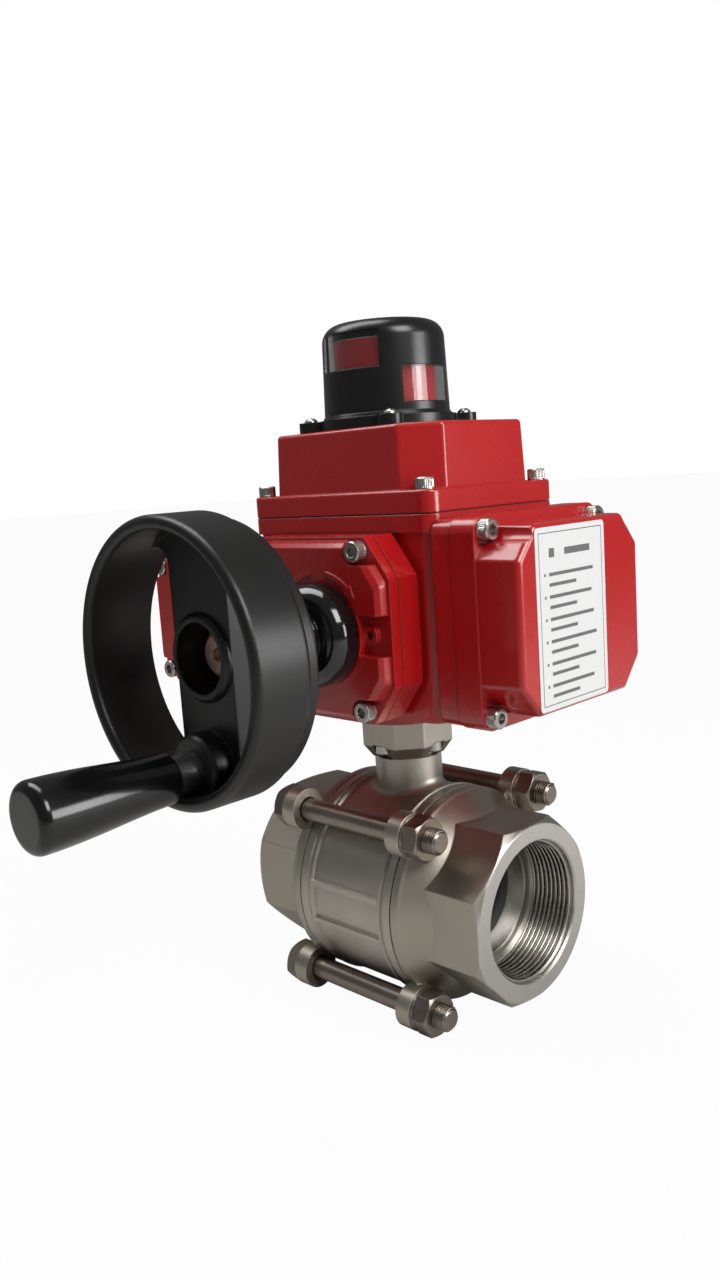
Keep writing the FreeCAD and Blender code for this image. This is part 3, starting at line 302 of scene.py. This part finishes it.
def roundedBump(tree, shader, height, strength, distance, radius):
    # a bevelled normal softens the sharp edges, and the grain lies over it
    bevel = tree.nodes.new("ShaderNodeBevel")
    bevel.samples = bevelSamples
    bevel.inputs["Radius"].default_value = radius
    bump = tree.nodes.new("ShaderNodeBump")
    bump.inputs["Strength"].default_value = strength
    bump.inputs["Distance"].default_value = distance
    tree.links.new(height, bump.inputs["Height"])
    tree.links.new(bevel.outputs["Normal"], bump.inputs["Normal"])
    tree.links.new(bump.outputs["Normal"], shader.inputs["Normal"])


def tone(colour, factor):
    return tuple(min(1.0, channel * factor) for channel in colour[:3]) + (1.0,)


def makeFinish(name, look):
    # grained surface with two tones, varying gloss and lighter sharp edges
    material, tree, shader = newMaterial(name)
    grain = placeGroup(tree, grainGroup, Scale=look.get("grainScale", 400.0), Coarse=look.get("coarse", 30.0),
                       Contrast=look.get("contrast", 1.2))
    base = look["colour"]
    vary = look.get("vary", 0.12)
    body = mixColour(tree, grain.outputs["Mask"], tone(base, 1 - vary), tone(base, 1 + vary))
    # a lighter colour along the sharp edges; on the red paint this is a painted highlight
    if "edgeColour" in look:
        edgeColour = placeGroup(tree, lighterEdgeGroup, Radius=edgeMaskRadius, Gain=look.get("edgeGain", 5.0))
        body = mixColour(tree, edgeColour.outputs["Mask"], body, look["edgeColour"] + (1.0,))
    low, high = look["roughness"]
    rough = spread(tree, grain.outputs["Mask"], low, high)
    if "machined" in look:
        zone = placeGroup(tree, machinedGroup).outputs["Mask"]
        body = mixColour(tree, zone, body, look["machined"] + (1.0,))
        gloss = mathNode(tree, "MULTIPLY", zone, look["machinedGloss"])
        rough = mathNode(tree, "SUBTRACT", rough, gloss, True)
    tree.links.new(body, shader.inputs["Base Color"])
    tree.links.new(rough, shader.inputs["Roughness"])
    shader.inputs["Metallic"].default_value = look.get("metallic", 0.0)
    shader.inputs["Coat Weight"].default_value = look.get("coat", 0.0)
    shader.inputs["Coat Roughness"].default_value = look.get("coatRoughness", 0.05)
    shader.inputs["Specular IOR Level"].default_value = look.get("specular", 0.5)
    roundedBump(tree, shader, grain.outputs["Height"], look.get("bump", 0.1), look.get("bumpDepth", 0.0002),
                look.get("edgeRadius", 0.0005))
    return material


finishes = {
    # the lighter red given for the edges is a painted highlight along the case's edges
    "paintedRed": {"colour": (0.41, 0.006, 0.007), "vary": 0.05, "roughness": (0.22, 0.32), "grainScale": 900,
                   "bump": 0.05, "bumpDepth": 0.0001, "coat": 0.55, "coatRoughness": 0.10,
                   "edgeRadius": 0.0009, "edgeColour": (0.50, 0.06, 0.055), "edgeGain": 2.5},
    "castStainless": {"colour": (0.47, 0.44, 0.385), "vary": 0.18, "roughness": (0.34, 0.50), "metallic": 1.0,
                      "grainScale": 1500, "coarse": 45, "bump": 0.25, "bumpDepth": 0.00018,
                      "edgeRadius": 0.0008, "edgeColour": (0.68, 0.66, 0.62), "edgeGain": 3.0},
    "castCap": {"colour": (0.43, 0.395, 0.335), "vary": 0.18, "roughness": (0.34, 0.50), "metallic": 1.0,
                "grainScale": 1500, "coarse": 40, "bump": 0.22, "bumpDepth": 0.00018, "edgeRadius": 0.0008,
                "edgeColour": (0.70, 0.68, 0.64), "edgeGain": 3.0, "machined": (0.60, 0.58, 0.54),
                "machinedGloss": 0.12},
    "machinedSteel": {"colour": (0.52, 0.50, 0.48), "vary": 0.08, "roughness": (0.18, 0.30), "metallic": 1.0,
                      "grainScale": 700, "bump": 0.05, "edgeRadius": 0.0003},
    "threadSteel": {"colour": (0.50, 0.47, 0.43), "vary": 0.12, "roughness": (0.20, 0.32), "metallic": 1.0,
                    "grainScale": 900, "bump": 0.05, "edgeRadius": 0.0002},
    "polishedBall": {"colour": (0.34, 0.33, 0.32), "vary": 0.05, "roughness": (0.08, 0.15), "metallic": 1.0,
                     "bump": 0.02},
    "screwSteel": {"colour": (0.46, 0.44, 0.41), "vary": 0.12, "roughness": (0.20, 0.34), "metallic": 1.0,
                   "grainScale": 900, "bump": 0.06, "edgeRadius": 0.0003, "edgeColour": (0.75, 0.73, 0.7)},
    "boltSteel": {"colour": (0.27, 0.235, 0.20), "vary": 0.18, "roughness": (0.26, 0.42), "metallic": 1.0,
                  "grainScale": 1000, "coarse": 90, "bump": 0.10, "edgeRadius": 0.0004,
                  "edgeColour": (0.62, 0.58, 0.54), "edgeGain": 4.0},
    # reddish-brown steel of the hub's bolt and washer, its darkness partly painted shade of the hub's deep
    # mouth
    "shadedHubSteel": {"colour": (0.55, 0.36, 0.29), "vary": 0.3, "roughness": (0.34, 0.5), "metallic": 0.9,
                  "grainScale": 900, "coarse": 260, "bump": 0.15, "edgeRadius": 0.0003},
    "spindleGrey": {"colour": (0.24, 0.24, 0.25), "vary": 0.12, "roughness": (0.36, 0.46), "metallic": 1.0,
                    "bump": 0.05, "edgeRadius": 0.0005},
    "seatPlastic": {"colour": (0.11, 0.11, 0.11), "vary": 0.08, "roughness": (0.4, 0.5), "bump": 0.05},
    "packingPlastic": {"colour": (0.72, 0.71, 0.68), "vary": 0.04, "roughness": (0.4, 0.5), "bump": 0.05},
    "gasketRubber": {"colour": (0.02, 0.02, 0.02), "vary": 0.2, "roughness": (0.6, 0.75), "bump": 0.15},
    "bronze": {"colour": (0.50, 0.34, 0.14), "vary": 0.12, "roughness": (0.25, 0.4), "metallic": 1.0,
               "bump": 0.06},
    "gearSteel": {"colour": (0.30, 0.30, 0.31), "vary": 0.1, "roughness": (0.25, 0.38), "metallic": 1.0,
                  "bump": 0.05},
    "aluminium": {"colour": (0.50, 0.51, 0.52), "vary": 0.08, "roughness": (0.3, 0.45), "metallic": 1.0,
                  "bump": 0.08},
    "labelFilm": {"colour": (0.66, 0.66, 0.66), "vary": 0.02, "roughness": (0.30, 0.40), "bump": 0.03,
                  "coat": 0.15},
    "labelInk": {"colour": (0.12, 0.12, 0.12), "vary": 0.08, "roughness": (0.4, 0.5), "bump": 0.02},
    "coverBlack": {"colour": (0.006, 0.006, 0.0065), "vary": 0.2, "roughness": (0.24, 0.32),
                   "grainScale": 1400, "bump": 0.06, "edgeRadius": 0.0006},
    "drumWhite": {"colour": (0.78, 0.78, 0.76), "vary": 0.03, "roughness": (0.35, 0.45), "bump": 0.03},
    "flagRed": {"colour": (0.50, 0.02, 0.02), "vary": 0.05, "roughness": (0.35, 0.45), "bump": 0.03},
    "flagYellow": {"colour": (0.80, 0.52, 0.02), "vary": 0.05, "roughness": (0.35, 0.45), "bump": 0.03},
    "camOrange": {"colour": (0.62, 0.25, 0.03), "vary": 0.06, "roughness": (0.4, 0.5), "bump": 0.04},
    "switchBlack": {"colour": (0.02, 0.02, 0.022), "vary": 0.15, "roughness": (0.35, 0.5), "bump": 0.05},
    "boardGreen": {"colour": (0.02, 0.13, 0.05), "vary": 0.15, "roughness": (0.2, 0.35), "bump": 0.03},
    "terminalGrey": {"colour": (0.28, 0.29, 0.30), "vary": 0.06, "roughness": (0.4, 0.5), "bump": 0.05},
    "glandBlack": {"colour": (0.02, 0.02, 0.021), "vary": 0.15, "roughness": (0.38, 0.5), "bump": 0.08},
    "sleeveBlack": {"colour": (0.004, 0.004, 0.0045), "vary": 0.2, "roughness": (0.08, 0.15), "bump": 0.02,
                    "coat": 0.4, "edgeRadius": 0.0008},
    "wheelBlack": {"colour": (0.007, 0.0068, 0.0064), "vary": 0.2, "roughness": (0.30, 0.42),
                   "grainScale": 1300, "bump": 0.10, "edgeRadius": 0.0012},
    "gripBlack": {"colour": (0.003, 0.003, 0.003), "vary": 0.2, "roughness": (0.15, 0.22), "bump": 0.02,
                  "coat": 0.12, "edgeRadius": 0.0006},
}
materials = {name: makeFinish(name, look) for name, look in finishes.items()}


lens = {"colour": (0.95, 0.95, 0.95, 1), "transmission": 1.0, "ior": 1.45, "roughness": (0.02, 0.08),
        "grainScale": 300.0, "coarse": 60.0, "contrast": 1.0, "bump": 0.02}


def makeLens():
    material, tree, shader = newMaterial("clearLens")
    grain = placeGroup(tree, grainGroup, Scale=lens["grainScale"], Coarse=lens["coarse"],
                       Contrast=lens["contrast"])
    shader.inputs["Base Color"].default_value = lens["colour"]
    shader.inputs["Transmission Weight"].default_value = lens["transmission"]
    shader.inputs["IOR"].default_value = lens["ior"]
    low, high = lens["roughness"]
    tree.links.new(spread(tree, grain.outputs["Mask"], low, high), shader.inputs["Roughness"])
    bump = tree.nodes.new("ShaderNodeBump")
    bump.inputs["Strength"].default_value = lens["bump"]
    tree.links.new(grain.outputs["Height"], bump.inputs["Height"])
    tree.links.new(bump.outputs["Normal"], shader.inputs["Normal"])
    return material


materials["clearLens"] = makeLens()
print("materials ready")

# finish of each material slot
slotFinish = {
    "painted_red": "paintedRed", "cast_stainless": "castStainless", "polished_ball": "polishedBall",
    "machined_steel": "machinedSteel", "screw_steel": "screwSteel", "seat_plastic": "seatPlastic",
    "packing_plastic": "packingPlastic", "gasket_rubber": "gasketRubber", "bearing_bronze": "bronze",
    "wheel_bronze": "bronze", "gear_steel": "gearSteel", "motor_aluminium": "aluminium",
    "capacitor_case": "aluminium", "plate_aluminium": "aluminium", "label_white": "labelFilm",
    "cover_black": "coverBlack", "lens_clear": "clearLens", "drum_white": "drumWhite", "flag_red": "flagRed",
    "flag_yellow": "flagYellow", "cam_plastic": "camOrange", "switch_black": "switchBlack",
    "board_green": "boardGreen", "terminal_grey": "terminalGrey", "gland_black": "glandBlack",
    "sleeve_black": "sleeveBlack", "wheel_black": "wheelBlack", "grip_black": "gripBlack",
}
# pieces whose surface differs from the rest of their slot
nodeFinish = {
    "end_cap_right": "castCap", "end_cap_left": "castCap", "tie_bolts": "boltSteel", "tie_nuts": "boltSteel",
    "tie_washers": "boltSteel", "wheel_bolt": "shadedHubSteel", "wheel_washer": "shadedHubSteel",
    "handle_spindle": "spindleGrey",
}
for subpart in frame["record"]["subparts"]:
    piece = nodes[subpart["node"]]
    finish = materials[nodeFinish.get(subpart["node"], slotFinish[subpart["material_slot"]])]
    if not piece.data.materials:
        piece.data.materials.append(finish)
    for slot in piece.material_slots:
        slot.material = finish
print("pieces finished")


# geometry node helpers
def newTree(name, sizes):
    # sizes: (label, socket type, start value) for every named input
    tree = bpy.data.node_groups.new(name, "GeometryNodeTree")
    tree.interface.new_socket(name="Geometry", in_out="INPUT", socket_type="NodeSocketGeometry")
    for label, kind, value in sizes:
        socket = tree.interface.new_socket(name=label, in_out="INPUT", socket_type=kind)
        if value is not None:
            socket.default_value = value
    tree.interface.new_socket(name="Material", in_out="INPUT", socket_type="NodeSocketMaterial")
    tree.interface.new_socket(name="Geometry", in_out="OUTPUT", socket_type="NodeSocketGeometry")
    return tree, tree.nodes.new("NodeGroupInput")


def add(tree, kind, feeds=None, **settings):
    # feeds: input name or index to a value or to another node's output
    node = tree.nodes.new(kind)
    for name, value in settings.items():
        setattr(node, name, value)
    for name, value in (feeds or {}).items():
        if isinstance(value, bpy.types.NodeSocket):
            tree.links.new(value, node.inputs[name])
        else:
            node.inputs[name].default_value = value
    return node


def calc(tree, operation, first, second=0.0):
    return add(tree, "ShaderNodeMath", {0: first, 1: second}, operation=operation).outputs[0]


def endTree(tree, source, geometry):
    solid = add(tree, "GeometryNodeRealizeInstances", {"Geometry": geometry})
    dressed = add(tree, "GeometryNodeSetMaterial",
                  {"Geometry": solid.outputs[0], "Material": source.outputs["Material"]})
    sink = tree.nodes.new("NodeGroupOutput")
    tree.links.new(dressed.outputs[0], sink.inputs["Geometry"])
    return tree


def growPiece(name, tree, points, facings, values, body):
    # points carry the repeats; the evaluated result becomes one plain mesh
    mesh = bpy.data.meshes.new(name + "Points")
    mesh.from_pydata([tuple(point) for point in points], [], [])
    facing = mesh.attributes.new("facing", "FLOAT_VECTOR", "POINT")
    for index, direction in enumerate(facings):
        facing.data[index].vector = direction
    carrier = bpy.data.objects.new(name + "Points", mesh)
    bpy.context.scene.collection.objects.link(carrier)
    modifier = carrier.modifiers.new("nodes", "NODES")
    modifier.node_group = tree
    for item in tree.interface.items_tree:
        if item.in_out == "INPUT" and item.name in values:
            modifier[item.identifier] = values[item.name]
    evaluated = carrier.evaluated_get(bpy.context.evaluated_depsgraph_get())
    piece = bpy.data.objects.new(name, bpy.data.meshes.new_from_object(evaluated))
    bpy.context.scene.collection.objects.link(piece)
    bpy.data.objects.remove(carrier)
    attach(piece, body)
    return piece


def placeOnPoints(tree, source, instance):
    direction = add(tree, "GeometryNodeInputNamedAttribute", {"Name": "facing"}, data_type="FLOAT_VECTOR")
    turn = add(tree, "FunctionNodeAlignRotationToVector", {"Vector": direction.outputs[0]}, axis="Z")
    placed = add(tree, "GeometryNodeInstanceOnPoints",
                 {"Points": source.outputs["Geometry"], "Instance": instance, "Rotation": turn.outputs[0]})
    return placed.outputs[0]


# knurled socket screws
lidScrew = {"Head Radius": 3.7 * mm, "Head Height": 4.6 * mm, "Socket Radius": 1.85 * mm,
            "Shank Radius": 1.9 * mm, "Shank Length": 19 * mm, "Knurls": 30, "Knurl Depth": 0.20 * mm}
coverScrew = {"Head Radius": 4.1 * mm, "Head Height": 5.0 * mm, "Socket Radius": 2.4 * mm,
              "Shank Radius": 2.4 * mm, "Shank Length": 13 * mm, "Knurls": 32, "Knurl Depth": 0.20 * mm}
wiringShank = 20 * mm
motorEndSpacing = 24.5 * mm    # half the spacing of the gear cover's screws at the motor end
# levels are shares of the head's height
screwForm = {"sideSteps": 10, "shankSteps": 24, "knurlFoot": 0.15, "knurlTop": 0.85, "bevelLevel": 0.95,
             "bevel": 0.45 * mm, "socketMiddle": 0.95}


def buildScrewTree():
    tree, source = newTree("socketScrew", [
        ("Head Radius", "NodeSocketFloat", 4 * mm), ("Head Height", "NodeSocketFloat", 5 * mm),
        ("Socket Radius", "NodeSocketFloat", 2 * mm), ("Shank Radius", "NodeSocketFloat", 2 * mm),
        ("Shank Length", "NodeSocketFloat", 12 * mm), ("Knurls", "NodeSocketInt", 30),
        ("Knurl Depth", "NodeSocketFloat", 0.2 * mm)])
    size = source.outputs
    around = calc(tree, "MULTIPLY", size["Knurls"], 4)
    head = add(tree, "GeometryNodeMeshCylinder",
               {"Vertices": around, "Side Segments": screwForm["sideSteps"], "Radius": size["Head Radius"],
                "Depth": size["Head Height"]})
    position = add(tree, "GeometryNodeInputPosition").outputs[0]
    where = add(tree, "ShaderNodeSeparateXYZ", {0: position}).outputs
    angle = calc(tree, "ARCTAN2", where[1], where[0])
    wave = calc(tree, "COSINE", calc(tree, "MULTIPLY", angle, size["Knurls"]))
    valley = calc(tree, "SUBTRACT", 0.5, calc(tree, "MULTIPLY", wave, 0.5))
    groove = calc(tree, "MULTIPLY", valley, size["Knurl Depth"])
    level = calc(tree, "ADD", calc(tree, "DIVIDE", where[2], size["Head Height"]), 0.5)
    aboveFoot = calc(tree, "GREATER_THAN", level, screwForm["knurlFoot"])
    belowTop = calc(tree, "LESS_THAN", level, screwForm["knurlTop"])
    cutIn = calc(tree, "MULTIPLY", groove, calc(tree, "MULTIPLY", aboveFoot, belowTop))
    nearTop = calc(tree, "GREATER_THAN", level, screwForm["bevelLevel"])
    topBevel = calc(tree, "MULTIPLY", nearTop, screwForm["bevel"])
    inward = calc(tree, "DIVIDE", calc(tree, "ADD", cutIn, topBevel), size["Head Radius"])
    shrink = calc(tree, "SUBTRACT", 1.0, inward)
    moved = add(tree, "ShaderNodeCombineXYZ", {0: calc(tree, "MULTIPLY", where[0], shrink),
                                               1: calc(tree, "MULTIPLY", where[1], shrink), 2: where[2]})
    shaped = add(tree, "GeometryNodeSetPosition",
                 {"Geometry": head.outputs["Mesh"], "Position": moved.outputs[0]})
    lift = add(tree, "ShaderNodeCombineXYZ", {2: calc(tree, "MULTIPLY", size["Head Height"], 0.5)})
    seated = add(tree, "GeometryNodeTransform",
                 {"Geometry": shaped.outputs[0], "Translation": lift.outputs[0]})
    hexagon = add(tree, "GeometryNodeMeshCylinder",
                  {"Vertices": 6, "Radius": size["Socket Radius"], "Depth": size["Head Height"]})
    socketLevel = calc(tree, "MULTIPLY", size["Head Height"], screwForm["socketMiddle"])
    sinkTo = add(tree, "ShaderNodeCombineXYZ", {2: socketLevel})
    socket = add(tree, "GeometryNodeTransform",
                 {"Geometry": hexagon.outputs["Mesh"], "Translation": sinkTo.outputs[0]})
    drilled = add(tree, "GeometryNodeMeshBoolean", {"Mesh 1": seated.outputs[0], "Mesh 2": socket.outputs[0]},
                  operation="DIFFERENCE", solver="EXACT")
    shank = add(tree, "GeometryNodeMeshCylinder",
                {"Vertices": screwForm["shankSteps"], "Radius": size["Shank Radius"],
                 "Depth": size["Shank Length"]})
    drop = add(tree, "ShaderNodeCombineXYZ", {2: calc(tree, "MULTIPLY", size["Shank Length"], -0.5)})
    lowered = add(tree, "GeometryNodeTransform",
                  {"Geometry": shank.outputs["Mesh"], "Translation": drop.outputs[0]})
    whole = add(tree, "GeometryNodeJoinGeometry")
    tree.links.new(drilled.outputs["Mesh"], whole.inputs[0])
    tree.links.new(lowered.outputs[0], whole.inputs[0])
    return endTree(tree, source, placeOnPoints(tree, source, whole.outputs[0]))


def growScrews(name, node, tree, places, facing, sizes):
    values = {**sizes, "Material": materials["screwSteel"]}
    screws = growPiece(name, tree, places, [facing] * len(places), values, "housing")
    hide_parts(node)


def ends(low, high, axis, inset):
    return low[axis] + inset, high[axis] - inset


def makeScrews():
    tree = buildScrewTree()
    low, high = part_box("lid_screws")
    radius = lidScrew["Head Radius"]
    seat = high[2] - lidScrew["Head Height"]
    places = [(x, y, seat) for x in ends(low, high, 0, radius) for y in ends(low, high, 1, radius)]
    growScrews("lidScrewSet", "lid_screws", tree, places, (0, 0, 1), lidScrew)
    low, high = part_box("wiring_cover_screws")
    radius = coverScrew["Head Radius"]
    seat = high[0] - coverScrew["Head Height"]
    places = [(seat, y, z) for y in ends(low, high, 1, radius) for z in ends(low, high, 2, radius)]
    growScrews("wiringScrewSet", "wiring_cover_screws", tree, places, (1, 0, 0),
               {**coverScrew, "Shank Length": wiringShank})
    low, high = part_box("gear_cover_screws")
    seat = low[1] + coverScrew["Head Height"]
    middle = (low[2] + high[2]) / 2
    places = [(high[0] - radius, seat, z) for z in ends(low, high, 2, radius)]
    places += [(low[0] + radius, seat, middle + side * motorEndSpacing) for side in (-1, 1)]
    growScrews("gearScrewSet", "gear_cover_screws", tree, places, (0, -1, 0), coverScrew)


# threads of the ports and the studs
portThread = {"Pitch": 2.309 * mm, "Turns": 9.2, "Ridge": 0.95 * mm, "Path Radius": 29.45 * mm, "Steps": 96}
studThread = {"Pitch": 1.25 * mm, "Turns": 4.6, "Ridge": 0.48 * mm, "Path Radius": 4.85 * mm, "Steps": 28}
portThreadLength = 23.4 * mm
studReach = 38.0 * mm         # stud axes from the pipe axis
studThreadLength = 6.4 * mm


def buildThreadTree():
    tree, source = newTree("thread", [
        ("Pitch", "NodeSocketFloat", 2 * mm), ("Turns", "NodeSocketFloat", 9.0),
        ("Ridge", "NodeSocketFloat", 1 * mm),
        ("Path Radius", "NodeSocketFloat", 30 * mm), ("Steps", "NodeSocketInt", 96)])
    size = source.outputs
    height = calc(tree, "MULTIPLY", size["Pitch"], size["Turns"])
    coil = add(tree, "GeometryNodeCurveSpiral",
               {"Resolution": size["Steps"], "Rotations": size["Turns"], "Start Radius": size["Path Radius"],
                "End Radius": size["Path Radius"], "Height": height})
    upright = add(tree, "GeometryNodeSetCurveNormal", {"Curve": coil.outputs[0]})
    upright.mode = "Z_UP"
    ridge = add(tree, "GeometryNodeCurvePrimitiveCircle", {"Resolution": 4, "Radius": size["Ridge"]})
    band = add(tree, "GeometryNodeCurveToMesh",
               {"Curve": upright.outputs[0], "Profile Curve": ridge.outputs["Curve"], "Fill Caps": True})
    return endTree(tree, source, placeOnPoints(tree, source, band.outputs[0]))


def makeThreads():
    tree = buildThreadTree()
    for side, name, node in ((1, "portThreadRight", "end_cap_right"), (-1, "portThreadLeft", "end_cap_left")):
        low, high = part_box(node)
        mouth = high[0] if side > 0 else low[0]
        growPiece(name, tree, [(mouth - side * portThreadLength, 0, 0)], [(side, 0, 0)],
                  {**portThread, "Material": materials["threadSteel"]}, "housing")
    low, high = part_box("tie_bolts")
    start = high[0] - studThreadLength
    places = [(start, y, z) for y in (-studReach, studReach) for z in (-studReach, studReach)]
    growPiece("studThreads", tree, places, [(1, 0, 0)] * len(places),
              {**studThread, "Material": materials["boltSteel"]}, "housing")


# plain bars on the label
label = {"rows": 12, "rowPitch": 3.9 * mm, "rowHeight": 1.3 * mm, "longest": 34 * mm, "ink": 0.02 * mm,
         "margin": 2.2 * mm, "frameWidth": 0.35 * mm, "corner": 2 * mm, "cornerSteps": 6,
         "headingDrop": 7.5 * mm, "headingShift": 4 * mm, "headingLength": 17 * mm, "headingHeight": 2.6 * mm,
         "squareInset": 8 * mm, "squareSide": 3.4 * mm, "rowsDrop": 15.5 * mm, "rowsInset": 6 * mm,
         "pairGap": 0.6 * mm, "shortShare": 0.52, "longShare": 0.86, "longVary": 0.04, "varyStep": 2.4,
         "dotInset": 2.6 * mm, "dotSide": 1.1 * mm}


def buildBarTree():
    tree, source = newTree("labelBar", [])
    cube = add(tree, "GeometryNodeMeshCube", {"Size": (1.0, 1.0, 1.0)})
    bar = add(tree, "GeometryNodeTransform",
              {"Geometry": cube.outputs["Mesh"], "Translation": (0.5, 0.0, 0.0)})
    extent = add(tree, "GeometryNodeInputNamedAttribute", {"Name": "facing"}, data_type="FLOAT_VECTOR")
    placed = add(tree, "GeometryNodeInstanceOnPoints",
                 {"Points": source.outputs["Geometry"], "Instance": bar.outputs[0],
                  "Scale": extent.outputs[0]})
    return endTree(tree, source, placed.outputs[0])


def makeLabelFilm(low, high, face):
    # thin sheet with rounded corners, a little under the ink's face
    outline = []
    radius = label["corner"]
    rounded = ((high[1], high[2], 0), (low[1], high[2], 90), (low[1], low[2], 180), (high[1], low[2], 270))
    for cornerY, cornerZ, start in rounded:
        centreY = cornerY - math.copysign(radius, cornerY - (low[1] + high[1]) / 2)
        centreZ = cornerZ - math.copysign(radius, cornerZ - (low[2] + high[2]) / 2)
        for step in range(label["cornerSteps"] + 1):
            angle = math.radians(start + 90 * step / label["cornerSteps"])
            outline.append((centreY + radius * math.cos(angle), centreZ + radius * math.sin(angle)))
    count = len(outline)
    corners = [(level, y, z) for level in (low[0], face) for y, z in outline]
    sides = [(i, (i + 1) % count, (i + 1) % count + count, i + count) for i in range(count)]
    flats = [tuple(reversed(range(count))), tuple(range(count, 2 * count))]
    mesh = bpy.data.meshes.new("labelFilm")
    mesh.from_pydata(corners, [], sides + flats)
    mesh.materials.append(materials["labelFilm"])
    film = bpy.data.objects.new("labelFilm", mesh)
    bpy.context.scene.collection.objects.link(film)
    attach(film, "housing")
    return film


def makeLabelBars():
    # "facing" holds each bar's size here
    low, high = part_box("label_plate")
    ink = label["ink"]
    face = high[0] - ink
    film = makeLabelFilm(low, high, face)
    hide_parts("label_plate")
    left = low[1] + label["margin"]
    right = high[1] - label["margin"]
    top = high[2] - label["margin"]
    bottom = low[2] + label["margin"]
    width = label["frameWidth"]
    middleY = (left + right) / 2
    middleZ = (top + bottom) / 2
    points = [(face, middleY, top), (face, middleY, bottom), (face, left, middleZ), (face, right, middleZ)]
    sizes = [(ink, right - left, width)] * 2 + [(ink, width, top - bottom)] * 2
    heading = top - label["headingDrop"]
    points += [(face, middleY + label["headingShift"], heading), (face, left + label["squareInset"], heading)]
    sizes += [(ink, label["headingLength"], label["headingHeight"]),
              (ink, label["squareSide"], label["squareSide"])]
    start = left + label["rowsInset"]
    for row in range(label["rows"]):
        second = row % 2
        longShare = label["longShare"] + label["longVary"] * math.sin(label["varyStep"] * row)
        length = label["longest"] * (label["shortShare"] if second else longShare)
        level = top - label["rowsDrop"] - row * label["rowPitch"] - (row // 2) * label["pairGap"]
        points.append((face, start + length / 2, level))
        sizes.append((ink, length, label["rowHeight"]))
        if not second:
            points.append((face, start - label["dotInset"], level))
            sizes.append((ink, label["dotSide"], label["dotSide"]))
    growPiece("labelBars", buildBarTree(), points, sizes, {"Material": materials["labelInk"]},
              "housing")


makeScrews()
makeThreads()
makeLabelBars()
print("screws, threads and label bars made")
